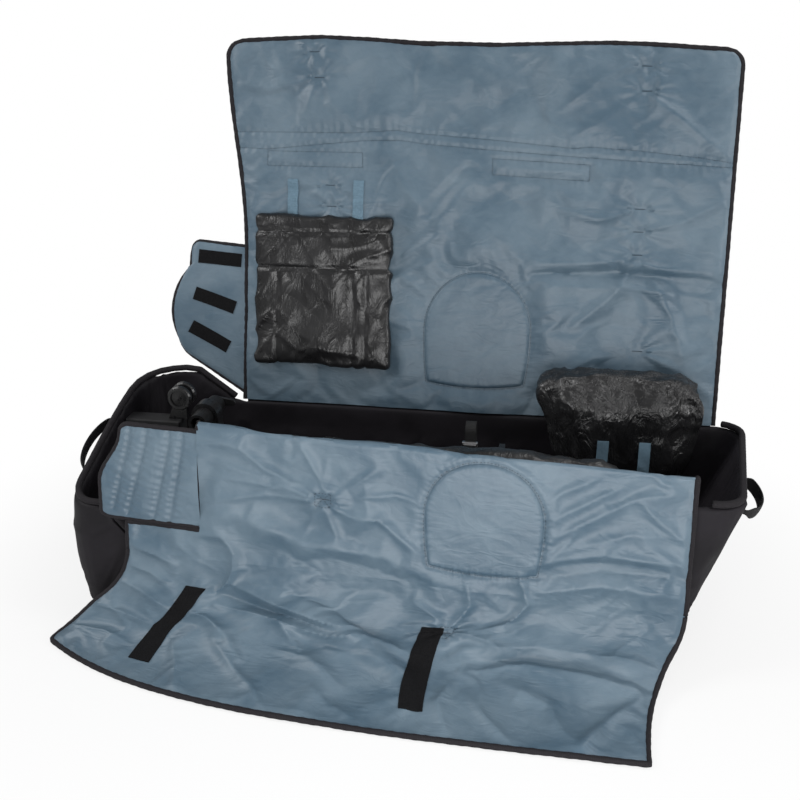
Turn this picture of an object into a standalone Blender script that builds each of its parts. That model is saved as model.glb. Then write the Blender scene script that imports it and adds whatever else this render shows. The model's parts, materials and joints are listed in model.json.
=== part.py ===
"""Soft bike travel case that stands open, with its flaps thrown back.

Metres. +X runs along the case to its wheeled end, +Y to the rear flap, +Z up.
The origin is the middle of the base, on the ground that its skids stand on.
"""

import math

import bmesh
import bpy
from mathutils import Matrix, Vector

# Driving dimensions
gap = 0.0003            # between pieces that touch
merge = 0.0001          # merge distance
facet_room = 0.0013     # for a strip that lies over another sheet's facets

tray_middle = -0.020    # the tray's middle along X
tray_length = 1.215
tray_depth = 0.380
tray_height = 0.045
tray_wall = 0.005
tray_floor = 0.006
tray_corner = 0.055
rib_width = 0.012
rib_height = 0.005
rib_pitch = 0.180
rib_count = 5
skid_height = 0.010
skid_width = 0.034
skid_spread = 0.125     # from one skid's centre line to the next
skid_length = 0.920
skid_middle = -0.030

wall_thickness = 0.012
wall_hem = 0.006        # the walls' lower edge above the ground
wall_foot = 0.062       # the walls stand upright round the tray to here, and flare above
wall_rows = 5
rim_height = 0.330
rear_corner_height = 0.395
rear_peak_start = 0.030 # the rear rim is level to here left of the flap
rear_peak_run = 0.090
front_corner_height = 0.240
sag_height = 0.165      # where the front wall has sunk below the front ear
rim_left = -0.640
rim_left_rear = -0.600
rim_right = 0.672
rim_right_rear = 0.730
rim_depth = 0.400
rim_corner = 0.050
rim_corner_rear = 0.120
binding_radius = 0.007

rail_length = 0.940
rail_middle = -0.045
rail_spread = 0.120
rail_width = 0.028
rail_height = 0.018
rail_head = 0.006
rail_foot = 0.004
rail_web = 0.010
shoe_length = 0.100
shoe_margin = 0.012
shoe_cover = 0.010
slide_clearance = 0.0005

fork_x = -0.405
fork_tube_height = 0.372
fork_tube_length = 0.120
fork_tube_radius = 0.020
fork_tube_mouth = 0.014
fork_tube_mouth_depth = 0.018
through_axle_radius = 0.006
post_foot = 0.085
post_thickness = 0.032
post_head = 0.029
window_radius = 0.015
lever_length = 0.040    # its tip turns clear of the stowed caster
lever_thickness = 0.007
lever_hub = 0.012
lever_end = 0.007

cradle_x = 0.194
shell_height = 0.338    # centre of the bottom bracket shell that the cradle takes
shell_radius = 0.024
cradle_head = 0.036
strap_side = 0.034      # the strap closes over the frame's tube, this far beside the shell
strap_slot_side = 0.001
strap_slot_low = 0.0015
strap_slot_high = 0.0125
strap_slot_rim = 0.004
strap_width = 0.022
strap_thickness = 0.002
strap_bend = 0.0055
strap_rise = 0.050      # how far the strap's loop stands above the shell's centre
buckle_height = 0.034
buckle_depth = 0.010
buckle_side = 0.005
buckle_lever_margin = 0.003
buckle_lever_thickness = 0.004

wheel_radius = 0.044
wheel_width = 0.026
wheel_x = 0.515
wheel_spread = 0.240
wheel_lift = 0.0005
axle_radius = 0.004
axle_clearance = 0.0005
housing_wall = 0.004
wheel_clearance = 0.005

caster_radius = 0.027
caster_tread = 0.014
caster_arm = 0.012
caster_trail = 0.020
caster_y = 0.055
caster_stem_x = -0.500
caster_socket_top = 0.335
caster_socket_height = 0.032
caster_socket_width = 0.046
caster_seat = 0.0012    # the wall's facets lie a little behind the line that they are drawn on
caster_height = 0.388
stem_radius = 0.007

flap_thickness = 0.009
rear_lean = math.radians(12)
rear_left = -0.385
rear_left_top = -0.430
rear_right = 0.670
rear_fold = 0.590       # rim to fold seam, along the flap
rear_top = 0.200        # fold seam to the top edge
rear_corner = 0.030
rear_ear_bottom = 0.012
rear_ear_height = 0.335
rear_ear_width = 0.172
rear_ear_neck = 0.128
rear_ear_cut = 0.095
ear_corner = 0.022
slump_depth = 0.006     # how far the rear flap's side panel bellies out
slump_room = 0.0006     # for a patch or a tape over the belly's facets

front_left = -0.345
front_left_low = -0.497
front_right = 0.585
crest_height = 0.4135   # at the middle of the case
crest_slope = -0.042    # the crest falls towards the wheeled end
front_slope = 0.125     # how much the front flap leans out as it goes down
front_drop = 0.262      # crest to the bend
slot_drop = 0.205
slot_width = 0.006
front_ear_width = 0.205
front_ear_tip = 0.160
front_ear_head = 0.005  # its upper edge below the crest, so that it folds clear of the root
end_left = -0.637
end_right = 0.512
end_fall = 0.095        # how far the end panel hangs on before it breaks
end_knee = 0.15         # where along its reach it comes down to the ground
end_lift = 0.0006       # its underside above the ground
end_ripple = 0.008
end_fold = 0.016
end_reach_left = 0.335
end_reach = 0.515
end_reach_run = 0.250

hook_thickness = 0.002
hook_width = 0.045
ear_hook_width = 0.030
ear_hook_length = 0.100
hook_corner = 0.003
ear_hooks = (("upper", 0.061, 0.318, 4), ("middle", 0.073, 0.222, 18), ("lower", 0.085, 0.138, 27))
loop_width = 0.040
loop_length = 0.215
left_loop_x = -0.337
left_loop_drop = 0.042  # from the fold seam to the tape's middle
right_loop_x = 0.163
right_loop_drop = 0.052
ear_loop_width = 0.036
ear_loop_length = 0.175
ear_loop_head = 0.014   # from the crest to its upper end
ear_loops = (("outer_ear_loop", 0.127), ("inner_ear_loop", 0.046))
left_strip = (0.150, 0.24, 0.168, 0.86)     # from and to, as shares across and along the end panel
right_strip = (0.595, 0.34, 0.640, 0.90)
patch_width = 0.240
patch_height = 0.262
patch_thickness = 0.004
patch_top = 0.5         # how much its top and its foot are drawn in
patch_foot = 0.16
rear_patch_x = 0.147
rear_patch_s = 0.178
front_patch_x = 0.207
front_patch_d = 0.133
front_patch_share = 0.92    # its height as a share of the rear one's

handle_span = 0.155
handle_width = 0.025
handle_tip = 0.010      # the webbing's width where it is folded and sewn down
handle_thickness = 0.003
handle_stand = 0.040
handle_patch = 0.003
handle_patch_end = 0.014
handle_patch_side = 0.004
handle_z = 0.300
left_handle_y = -0.018
left_handle_z = 0.288
left_handle_tilt = math.radians(26)
right_handle_y = -0.055
tab_y = 0.110
tab_length = 0.026
tab_reach = 0.014

bag_left = -0.300
bag_right = 0.480
bag_top = 0.398
bag_thickness = 0.050
pad_left = -0.352
pad_right = -0.052
pad_bottom = 0.090
pad_top = 0.415
pad_thickness = 0.022
pad_edge = 0.006
pad_strap_width = 0.024
pad_strap_length = 0.085
pad_strap_inset = 0.075
pouch_left = 0.270
pouch_right = 0.640
pouch_left_low = 0.420
pouch_right_low = 0.565
pouch_top = 0.455
pouch_depth = 0.105

# Heights and places that follow from them
tray_bottom = skid_height + gap
floor_top = tray_bottom + tray_floor
rail_bottom = floor_top + gap
rail_top = rail_bottom + rail_height
shoe_bottom = rail_bottom + rail_foot + slide_clearance
shoe_top = rail_top + slide_clearance + shoe_cover
wheel_height = wheel_radius + wheel_lift
half_flap = flap_thickness / 2
rear_hinge = Vector((0, rim_depth / 2 + wall_thickness / 2, rim_height + gap + half_flap))
rear_up = Vector((0, math.sin(rear_lean), math.cos(rear_lean)))
rear_out = Vector((0, math.cos(rear_lean), -math.sin(rear_lean)))
root_y = -rim_depth / 2 - 0.003
front_hinge_y = root_y - flap_thickness - gap
front_down = Vector((0, -front_slope, -1)).normalized()
front_out = Vector((0, -1, front_slope)).normalized()

for old in list(bpy.data.objects):
    bpy.data.objects.remove(old, do_unlink=True)

parts = bpy.data.collections.new("bike_travel_case")
cutters = bpy.data.collections.new("cutters")
bpy.context.scene.collection.children.link(parts)
bpy.context.scene.collection.children.link(cutters)

# Finishes: base colour, roughness, metallic
LINING = ((0.150, 0.215, 0.270, 1), 0.45, 0.0)
SHELL = ((0.018, 0.016, 0.020, 1), 0.80, 0.0)
WEBBING = ((0.010, 0.010, 0.011, 1), 0.85, 0.0)
HOOK = ((0.006, 0.006, 0.007, 1), 0.95, 0.0)
GLOSSY = ((0.012, 0.012, 0.013, 1), 0.30, 0.0)
PLASTIC = ((0.020, 0.020, 0.022, 1), 0.50, 0.0)
ALLOY = ((0.350, 0.350, 0.360, 1), 0.35, 1.0)
STEEL = ((0.500, 0.500, 0.510, 1), 0.25, 1.0)
RUBBER = ((0.015, 0.015, 0.016, 1), 0.70, 0.0)
BLUE_WEB = ((0.120, 0.190, 0.240, 1), 0.70, 0.0)


def add_part(name, mesh, finish, collection=parts):
    """Link a mesh as a named object with its own material."""
    item = bpy.data.objects.new(name, mesh)
    collection.objects.link(item)
    if collection is cutters:
        item.hide_render = True
        item.display_type = "WIRE"
        return item
    colour, roughness, metallic = finish
    material = bpy.data.materials.new(name)
    material.use_nodes = True
    shader = material.node_tree.nodes["Principled BSDF"]
    shader.inputs["Base Color"].default_value = colour
    shader.inputs["Roughness"].default_value = roughness
    shader.inputs["Metallic"].default_value = metallic
    mesh.materials.append(material)
    return item


def mesh_of(bm, name):
    """Close a bmesh into a mesh with its faces pointing out."""
    bm.normal_update()
    bmesh.ops.recalc_face_normals(bm, faces=bm.faces)
    mesh = bpy.data.meshes.new(name)
    bm.to_mesh(mesh)
    bm.free()
    shade(mesh)
    return mesh


def block(name, low, high, finish=None, bevel=0.0, collection=parts):
    """A box between two corners, its edges rounded by bevel."""
    low, high = Vector(low), Vector(high)
    bm = bmesh.new()
    bmesh.ops.create_cube(bm, size=1)
    bmesh.ops.scale(bm, vec=high - low, verts=bm.verts)
    bmesh.ops.translate(bm, vec=(low + high) / 2, verts=bm.verts)
    item = add_part(name, mesh_of(bm, name), finish, collection)
    if bevel:
        soften(item, bevel)
    return item


def soften(item, width, segments=2):
    """Round the sharp edges of a piece."""
    modifier = item.modifiers.new("round", "BEVEL")
    modifier.width = width
    modifier.segments = segments
    modifier.limit_method = "ANGLE"
    modifier.angle_limit = math.radians(40)


def rod(name, start, end, radius, finish=None, sides=20, collection=parts):
    """A round bar between two points."""
    start, end = Vector(start), Vector(end)
    bm = bmesh.new()
    bmesh.ops.create_cone(bm, cap_ends=True, segments=sides, radius1=radius, radius2=radius,
                          depth=(end - start).length)
    turn = (end - start).to_track_quat("Z", "Y").to_matrix().to_4x4()
    bm.transform(Matrix.Translation((start + end) / 2) @ turn)
    return add_part(name, mesh_of(bm, name), finish, collection)


def turned(name, profile, place, finish, steps=24):
    """A closed profile of (radius, height) turned about its own Z, then placed."""
    bm = bmesh.new()
    ring = [bm.verts.new((radius, 0, height)) for radius, height in profile]
    for first, second in zip(ring, ring[1:] + ring[:1]):
        bm.edges.new((first, second))
    mesh = bpy.data.meshes.new(name)
    bm.to_mesh(mesh)
    bm.free()
    item = add_part(name, mesh, finish)
    item.matrix_world = place
    screw = item.modifiers.new("turn", "SCREW")
    screw.steps = steps
    screw.render_steps = steps
    screw.use_merge_vertices = True
    screw.merge_threshold = merge
    return item


def plate(name, outlines, thickness, place, finish=None, collection=parts):
    """Flat outlines, the first the edge and the rest holes, given a thickness about their plane."""
    curve = bpy.data.curves.new(name, "CURVE")
    curve.dimensions = "2D"
    curve.fill_mode = "BOTH"
    curve.extrude = thickness / 2
    for outline in outlines:
        spline = curve.splines.new("POLY")
        spline.points.add(len(outline) - 1)
        for point, (x, y) in zip(spline.points, outline):
            point.co = (x, y, 0, 1)
        spline.use_cyclic_u = True
    guide = bpy.data.objects.new(name + "_outline", curve)
    cutters.objects.link(guide)
    bpy.context.view_layer.update()
    evaluated = guide.evaluated_get(bpy.context.evaluated_depsgraph_get())
    mesh = bpy.data.meshes.new_from_object(evaluated)
    bpy.data.objects.remove(guide, do_unlink=True)
    mesh.name = name
    bm = bmesh.new()
    bm.from_mesh(mesh)
    bmesh.ops.remove_doubles(bm, verts=bm.verts, dist=merge / 2)
    bmesh.ops.dissolve_degenerate(bm, edges=bm.edges, dist=merge / 10)
    bmesh.ops.recalc_face_normals(bm, faces=bm.faces)
    bm.transform(place)
    bm.to_mesh(mesh)
    bm.free()
    mesh.materials.clear()
    shade(mesh)
    return add_part(name, mesh, finish, collection)


def tube(name, points, radius, finish):
    """A round cord through points."""
    curve = bpy.data.curves.new(name, "CURVE")
    curve.dimensions = "3D"
    curve.bevel_depth = radius
    curve.bevel_resolution = 1
    curve.use_fill_caps = True
    spline = curve.splines.new("POLY")
    spline.points.add(len(points) - 1)
    for point, place in zip(spline.points, points):
        point.co = (*place, 1)
    return add_part(name, curve, finish)


def sheet(name, columns, rows, place, thickness, finish, corners=(), radius=0.0):
    """A cloth panel: a grid laid on place(u, v) and given a thickness. Its named corners are rounded."""
    bm = bmesh.new()
    bmesh.ops.create_grid(bm, x_segments=columns, y_segments=rows, size=0.5)
    rounded = []
    for vertex in bm.verts:
        u, v = vertex.co.x + 0.5, vertex.co.y + 0.5
        if (round(u, 3), round(v, 3)) in corners:
            rounded.append(vertex)
        vertex.co = place(u, v)
    if rounded:
        bmesh.ops.bevel(bm, geom=rounded, offset=radius, offset_type="OFFSET", segments=4,
                        profile=0.5, affect="VERTICES")
    mesh = bpy.data.meshes.new(name)
    bm.to_mesh(mesh)
    bm.free()
    item = add_part(name, mesh, finish)
    solid = item.modifiers.new("thickness", "SOLIDIFY")
    solid.thickness = thickness
    solid.offset = 0
    solid.use_even_offset = True
    return item


def cut(item, *tools):
    """Take the cutters' space out of a piece."""
    for tool in tools:
        modifier = item.modifiers.new("cut", "BOOLEAN")
        modifier.operation = "DIFFERENCE"
        modifier.object = tool


def join(item, *tools):
    """Fuse overlapping shapes to a piece."""
    for tool in tools:
        modifier = item.modifiers.new("join", "BOOLEAN")
        modifier.operation = "UNION"
        modifier.object = tool


def pivot(place, *names):
    """Move the origins of pieces onto the axis they turn about, and leave their shape where it is."""
    for name in names:
        item = bpy.data.objects[name]
        item.data.transform(Matrix.Translation(-place))
        item.location = place


def shade(mesh):
    """Shade a round mesh smooth, with its edges kept sharp."""
    mesh.shade_smooth()
    mesh.set_sharp_from_angle(angle=math.radians(35))


def smooth(value):
    """A step from 0 to 1 with level ends."""
    value = min(max(value, 0.0), 1.0)
    return value * value * (3 - 2 * value)


def mix(a, b, share):
    """The point or number a share of the way from a to b."""
    return a + (b - a) * share


def arc(centre, radius, start, end, steps):
    """Points of an arc, its ends among them, for angles in degrees."""
    return [(centre[0] + radius * math.cos(math.radians(mix(start, end, i / steps))),
             centre[1] + radius * math.sin(math.radians(mix(start, end, i / steps))))
            for i in range(steps + 1)]


def rounded_box(low, high, radius, steps=6):
    """The outline of a rectangle with round corners."""
    (x0, y0), (x1, y1) = low, high
    return (arc((x1 - radius, y0 + radius), radius, -90, 0, steps)
            + arc((x1 - radius, y1 - radius), radius, 0, 90, steps)
            + arc((x0 + radius, y1 - radius), radius, 90, 180, steps)
            + arc((x0 + radius, y0 + radius), radius, 180, 270, steps))


facing_y = Matrix.Rotation(math.radians(90), 4, "X")     # a flat outline's (x, y) becomes (x, z)
facing_x = Matrix.Rotation(math.radians(90), 4, "Z") @ facing_y    # and here (y, z)


# Base
def make_tray():
    """The moulded pan: a floor with a lip, wheel slots and stiffening ribs below."""
    half_length, half_depth = tray_length / 2, tray_depth / 2
    outline = rounded_box((tray_middle - half_length, -half_depth),
                          (tray_middle + half_length, half_depth), tray_corner)
    tray = plate("base_tray", [outline], tray_height,
                 Matrix.Translation((0, 0, tray_bottom + tray_height / 2)), PLASTIC)
    inner = rounded_box((tray_middle - half_length + tray_wall, -half_depth + tray_wall),
                        (tray_middle + half_length - tray_wall, half_depth - tray_wall),
                        tray_corner - tray_wall)
    pocket = plate("tray_pocket", [inner], tray_height,
                   Matrix.Translation((0, 0, floor_top + tray_height / 2)), collection=cutters)
    cut(tray, pocket)
    reach = wheel_radius + wheel_clearance
    side = wheel_width / 2 + wheel_clearance
    for end in (-1, 1):
        y = end * wheel_spread / 2
        cut(tray, block("wheel_slot", (wheel_x - reach, y - side, 0),
                        (wheel_x + reach, y + side, floor_top + tray_height), collection=cutters))
    rib_side = skid_spread - skid_width / 2 - gap
    for i in range(rib_count):
        x = skid_middle + rib_pitch * (i - (rib_count - 1) / 2)
        for end in (-1, 1):
            near, far = sorted((end * (skid_width / 2 + gap), end * rib_side))
            join(tray, block("rib", (x - rib_width / 2, near, tray_bottom - rib_height),
                             (x + rib_width / 2, far, tray_bottom + tray_floor / 2),
                             collection=cutters))


def make_skids():
    """Three runners that the case stands on, with ramped ends."""
    ramp = skid_height * 2
    half = skid_length / 2
    outline = [(skid_middle - half, skid_height), (skid_middle - half + ramp, 0),
               (skid_middle + half - ramp, 0), (skid_middle + half, skid_height)]
    for name, row in (("front_skid", -1), ("centre_skid", 0), ("rear_skid", 1)):
        plate(name, [outline], skid_width, Matrix.Translation((0, row * skid_spread, 0)) @ facing_y,
              PLASTIC)


def rail_profile():
    """The section of an I-shaped rail as (y, z)."""
    foot, web, head = rail_width / 2, rail_web / 2, rail_height - rail_head
    right = [(foot, 0), (foot, rail_foot), (web, rail_foot), (web, head), (foot, head), (foot, rail_height)]
    return right + [(-y, z) for y, z in reversed(right)]


def make_rails():
    """Two lengthwise rails that carry the fork mount and the cradle."""
    for name, row in (("front_rail", -1), ("rear_rail", 1)):
        place = Matrix.Translation((rail_middle, row * rail_spread / 2, rail_bottom)) @ facing_x
        plate(name, [rail_profile()], rail_length, place, ALLOY)


def make_shoe(name, x):
    """A slider that grips both rails' heads."""
    half = rail_spread / 2 + rail_width / 2 + shoe_margin
    shoe = block(name, (x - shoe_length / 2, -half, shoe_bottom), (x + shoe_length / 2, half, shoe_top),
                 PLASTIC, bevel=0.003)
    reach = shoe_length
    head_low = rail_bottom + rail_height - rail_head - slide_clearance
    for row in (-1, 1):
        y = row * rail_spread / 2
        wide, slim = rail_width / 2 + slide_clearance, rail_web / 2 + slide_clearance
        cut(shoe, block("head_slot", (x - reach, y - wide, head_low),
                        (x + reach, y + wide, rail_top + slide_clearance), collection=cutters),
            block("web_slot", (x - reach, y - slim, 0),
                  (x + reach, y + slim, head_low + slide_clearance), collection=cutters))
    inner = rail_spread / 2 - rail_width / 2 - shoe_margin
    cut(shoe, block("shoe_relief", (x - reach, -inner, 0), (x + reach, inner, rail_top - rail_head),
                    collection=cutters))
    return shoe


def post_outline(x, height, head):
    """A tapered post with a round head, as (x, z)."""
    foot = post_foot / 2
    low = shoe_top + gap
    lean = math.degrees(math.atan2(foot - head, height - low))
    return ([(x - foot, low), (x + foot, low)]
            + arc((x, height), head, lean, 180 - lean, 14))


# Fork mount
def make_fork_mount():
    """The slider, its post, the hollow cross tube, and the through axle with its lever."""
    make_shoe("fork_shoe", fork_x)
    outline = post_outline(fork_x, fork_tube_height, post_head)
    seat = arc((fork_x, fork_tube_height), fork_tube_radius + gap, 0, 345, 23)
    middle = mix(shoe_top, fork_tube_height, 0.40)
    window = [(fork_x - 0.024, middle - 0.075), (fork_x + 0.024, middle - 0.075),
              (fork_x + 0.014, middle + 0.085), (fork_x - 0.014, middle + 0.085)]
    plate("fork_post", [outline, seat, window], post_thickness, facing_y, ALLOY)
    along = Matrix.Translation((fork_x, 0, fork_tube_height)) @ facing_y
    half, bore = fork_tube_length / 2, through_axle_radius + axle_clearance
    mouth = half - fork_tube_mouth_depth
    turned("fork_cross_tube",
           [(fork_tube_radius, half), (fork_tube_radius, -half), (fork_tube_mouth, -half),
            (fork_tube_mouth, -mouth), (bore, -mouth), (bore, mouth), (fork_tube_mouth, mouth),
            (fork_tube_mouth, half)], along, PLASTIC)
    tail = half + 0.010
    rod("through_axle", (fork_x, -half + fork_tube_mouth_depth / 2, fork_tube_height),
        (fork_x, tail, fork_tube_height), through_axle_radius, STEEL)
    y = tail + gap + lever_thickness / 2
    outline = (arc((fork_x, fork_tube_height), lever_hub, 90, 270, 8)
               + arc((fork_x + lever_length - lever_end, fork_tube_height), lever_end, -90, 90, 6))
    lever = plate("axle_lever", [outline], lever_thickness, Matrix.Translation((0, y, 0)) @ facing_y, ALLOY)
    soften(lever, 0.0015, 1)
    pivot(Vector((fork_x, 0, fork_tube_height)), "through_axle", "axle_lever")


# Bottom bracket cradle
def make_cradle():
    """A post with a round seat, and the strap and cam buckle that close beside the shell."""
    make_shoe("cradle_shoe", cradle_x)
    seat = arc((cradle_x, shell_height), shell_radius, 0, -180, 12)
    foot = post_foot / 2
    low = shoe_top + gap
    horn = cradle_head
    window_z = shell_height - shell_radius - 0.030
    window = arc((cradle_x, window_z), window_radius, 0, 345, 15)
    strap_x = cradle_x - strap_side
    slot_half = strap_width / 2 + strap_slot_side
    slot_low, slot_high = window_z - strap_slot_low, window_z + strap_slot_high
    slot = [(strap_x - slot_half, slot_low), (strap_x + slot_half, slot_low),
            (strap_x + slot_half, slot_high), (strap_x - slot_half, slot_high)]
    left = strap_x - slot_half - strap_slot_rim
    outline = [(left, low), (cradle_x + foot, low), (cradle_x + horn, shell_height - horn),
               (cradle_x + horn, shell_height)] + seat + [(cradle_x - horn, shell_height),
                                                          (left, slot_high + strap_slot_rim * 2)]
    plate("cradle_post", [outline, window, slot], post_thickness, facing_y, ALLOY)
    side = post_thickness / 2 + gap
    bottom = window_z + strap_bend - strap_slot_low
    top = shell_height + strap_rise

    def band(grow):
        """The strap's path: square under the seat and round over the shell."""
        half, bend, foot = side + grow, strap_bend + grow, bottom - grow
        return (arc((half - bend, foot + bend), bend, -90, 0, 4)
                + arc((0, top - side), half, 0, 180, 12)
                + arc((bend - half, foot + bend), bend, 180, 270, 4))

    plate("bracket_strap", [band(strap_thickness), band(0)], strap_width,
          Matrix.Translation((strap_x, 0, 0)) @ facing_x, WEBBING)
    face = -side - strap_thickness - gap
    low_z = shell_height - buckle_height / 2
    half = strap_width / 2 + buckle_side
    block("cam_buckle", (strap_x - half, face - buckle_depth, low_z),
          (strap_x + half, face, low_z + buckle_height), PLASTIC, bevel=0.002)
    lever_face = face - buckle_depth - gap
    margin = buckle_lever_margin
    block("buckle_lever", (strap_x - half + margin, lever_face - buckle_lever_thickness, low_z + margin),
          (strap_x + half - margin, lever_face, low_z + buckle_height - margin), STEEL, bevel=0.001)
    pivot(Vector((strap_x, lever_face, low_z + margin)), "buckle_lever")


# Wheels
def d_shape(radius, low):
    """A half disc over straight sides, as (x, z)."""
    return [(wheel_x + radius, low)] + arc((wheel_x, wheel_height), radius, 0, 180, 14) + [(wheel_x - radius, low)]


def make_wheels():
    """Two wheels in their housings on one axle."""
    inner = wheel_radius + wheel_clearance
    outer = inner + housing_wall
    inner_width = wheel_width + 2 * wheel_clearance
    for name, row in (("front", -1), ("rear", 1)):
        y = row * wheel_spread / 2
        place = Matrix.Translation((0, y, 0)) @ facing_y
        housing = plate(name + "_wheel_housing", [d_shape(outer, floor_top + gap)],
                        inner_width + 2 * housing_wall, place, PLASTIC)
        hollow = plate("housing_hollow", [d_shape(inner, 0)], inner_width, place, collection=cutters)
        bore = rod("housing_bore", (wheel_x, y - inner_width, wheel_height), (wheel_x, y + inner_width, wheel_height),
                   axle_radius + axle_clearance, sides=16, collection=cutters)
        cut(housing, hollow, bore)
        half, hub = wheel_width / 2, axle_radius + axle_clearance
        rim = wheel_radius * 0.78
        turned(name + "_wheel",
               [(wheel_radius - 0.003, half), (wheel_radius, half - 0.005), (wheel_radius, 0.005 - half),
                (wheel_radius - 0.003, -half), (rim, -half), (rim - 0.002, 0.004 - half), (0.014, 0.004 - half),
                (0.012, -half), (hub, -half), (hub, half), (0.012, half), (0.014, half - 0.004),
                (rim - 0.002, half - 0.004), (rim, half)],
               Matrix.Translation((wheel_x, y, wheel_height)) @ facing_y, RUBBER, steps=28)
    reach = wheel_spread / 2 + inner_width / 2 + housing_wall + 0.004
    rod("wheel_axle", (wheel_x, -reach, wheel_height), (wheel_x, reach, wheel_height), axle_radius, STEEL, sides=14)


def make_caster():
    """The clip-on twin caster, stowed upside down in its socket on the left end wall."""
    low_z = caster_socket_top - caster_socket_height
    half = caster_socket_width / 2
    wall = max(on_wall("left_end_wall", y, z).x for y in (caster_y - half, caster_y + half)
               for z in (low_z, rim_height))
    socket = block("caster_socket", (wall + wall_thickness / 2 - caster_seat, caster_y - half, low_z),
                   (caster_stem_x + half * 0.8, caster_y + half, caster_socket_top), PLASTIC, bevel=0.003)
    cut(socket, rod("socket_bore", (caster_stem_x, caster_y, low_z - 0.010),
                    (caster_stem_x, caster_y, caster_socket_top + 0.010),
                    stem_radius + axle_clearance, sides=20, collection=cutters))
    stem_top = caster_socket_top + gap
    wheel_place = caster_stem_x + caster_trail
    boss = caster_radius * 0.42
    outline = ([(caster_stem_x - 0.012, stem_top), (wheel_place + 0.010, stem_top)]
               + arc((wheel_place, caster_height), boss, 0, 180, 12))
    hole = arc((wheel_place, caster_height), axle_radius + axle_clearance, 0, 340, 17)
    arm = plate("caster_arm", [outline, hole], caster_arm, Matrix.Translation((0, caster_y, 0)) @ facing_y,
                PLASTIC)
    join(arm, rod("caster_stem", (caster_stem_x, caster_y, low_z + 0.004), (caster_stem_x, caster_y, stem_top + 0.006),
                  stem_radius, sides=20, collection=cutters))
    inner = caster_arm / 2 + 2 * axle_clearance
    outer = inner + caster_tread
    side = [(axle_radius, 0), (axle_radius, inner), (caster_radius * 0.9, inner), (caster_radius, inner + 0.003),
            (caster_radius, outer - 0.003), (caster_radius * 0.9, outer), (caster_radius * 0.7, outer),
            (caster_radius * 0.66, outer - 0.004), (0.006, outer - 0.003), (0.0, outer - 0.002)]
    half_profile = [(r, z) for r, z in reversed(side)]
    profile = half_profile + [(r, -z) for r, z in side[1:]]
    spindle(profile, Matrix.Translation((wheel_place, caster_y, caster_height)) @ facing_y)


def spindle(profile, place):
    """Twin wheels on one axle: an open profile that starts and ends on its turning axis."""
    bm = bmesh.new()
    line = [bm.verts.new((radius, 0, height)) for radius, height in profile]
    for first, second in zip(line, line[1:]):
        bm.edges.new((first, second))
    mesh = bpy.data.meshes.new("caster_wheels")
    bm.to_mesh(mesh)
    bm.free()
    item = add_part("caster_wheels", mesh, RUBBER)
    item.matrix_world = place
    screw = item.modifiers.new("turn", "SCREW")
    screw.steps = 24
    screw.render_steps = 24
    screw.use_merge_vertices = True
    screw.merge_threshold = merge
    return item


# Walls
def fillet(before, corner, after, radius, steps):
    """The arc that rounds a corner between two other corners."""
    into, out = (corner - before).normalized(), (after - corner).normalized()
    half = into.angle(out) / 2
    reach = radius * math.tan(half)
    start, end = corner - into * reach, corner + out * reach
    centre = start + Vector((-into.y, into.x)) * radius
    first = math.atan2(start.y - centre.y, start.x - centre.x)
    return [centre + radius * Vector((math.cos(first + 2 * half * i / steps),
                                      math.sin(first + 2 * half * i / steps))) for i in range(steps + 1)]


def loop(corners, radii, steps=6):
    """The four fillets of a rounded quadrilateral, from its front left corner, anticlockwise."""
    corners = [Vector(c) for c in corners]
    return [fillet(corners[i - 1], corners[i], corners[(i + 1) % 4], radii[i], steps) for i in range(4)]


def wall_paths():
    """The walls' paths at the hem and at the rim, as pairs of points, each wall by its name."""
    out = wall_thickness / 2 + gap
    x0, x1 = tray_middle - tray_length / 2 - out, tray_middle + tray_length / 2 + out
    y = tray_depth / 2 + out
    low = loop([(x0, -y), (x1, -y), (x1, y), (x0, y)], [tray_corner + out] * 4)
    half = rim_depth / 2
    high = loop([(rim_left, -half), (rim_right, -half), (rim_right_rear, half), (rim_left_rear, half)],
                [rim_corner, rim_corner, rim_corner, rim_corner_rear])
    pairs = [list(zip(a, b)) for a, b in zip(low, high)]
    straight = 0.012

    def between(start, end, steps, trim):
        """Points along a straight wall, trimmed at both ends."""
        runs = [(b - a).normalized() for a, b in zip(start, end)]
        first = [a + run * trim for a, run in zip(start, runs)]
        last = [b - run * trim for b, run in zip(end, runs)]
        return [tuple(mix(a, b, i / steps) for a, b in zip(first, last)) for i in range(steps + 1)]

    def tail(corner, other, trim):
        """The first step of a straight wall that belongs to the end wall."""
        return tuple(a + (b - a).normalized() * trim for a, b in zip(corner, other))

    front_left_, front_right_, rear_right_, rear_left_ = pairs
    return {
        "front_wall": between(front_left_[-1], front_right_[0], 22, straight + gap),
        "right_end_wall": ([tail(front_right_[0], front_left_[-1], straight)] + front_right_
                           + between(front_right_[-1], rear_right_[0], 4, 0)[1:-1] + rear_right_
                           + [tail(rear_right_[-1], rear_left_[0], straight)]),
        "rear_wall": between(rear_right_[-1], rear_left_[0], 16, straight + gap),
        "left_end_wall": ([tail(rear_left_[0], rear_right_[-1], straight)] + rear_left_
                          + between(rear_left_[-1], front_left_[0], 5, 0)[1:-1] + front_left_
                          + [tail(front_left_[-1], front_right_[0], straight)]),
    }


def top_height(x, y):
    """The rim's height at a place on it: it droops at the left end and peaks at the rear left corner."""
    left = smooth((-0.28 - x) / 0.22)
    if y > rim_depth / 2 - 0.005:
        return mix(rim_height, rear_corner_height, smooth((rear_left - rear_peak_start - x) / rear_peak_run))
    if x > 0:
        return rim_height
    if y < -rim_depth / 2 + 0.005:
        sunk = mix(rim_height, sag_height, smooth((front_left - 0.006 - x) / 0.055))
        return mix(sunk, front_corner_height, smooth((-0.500 - x) / 0.075)) if left else rim_height
    share = smooth((y + rim_depth / 2) / rim_depth)
    return mix(front_corner_height, rear_corner_height, share ** 0.7)


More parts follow.
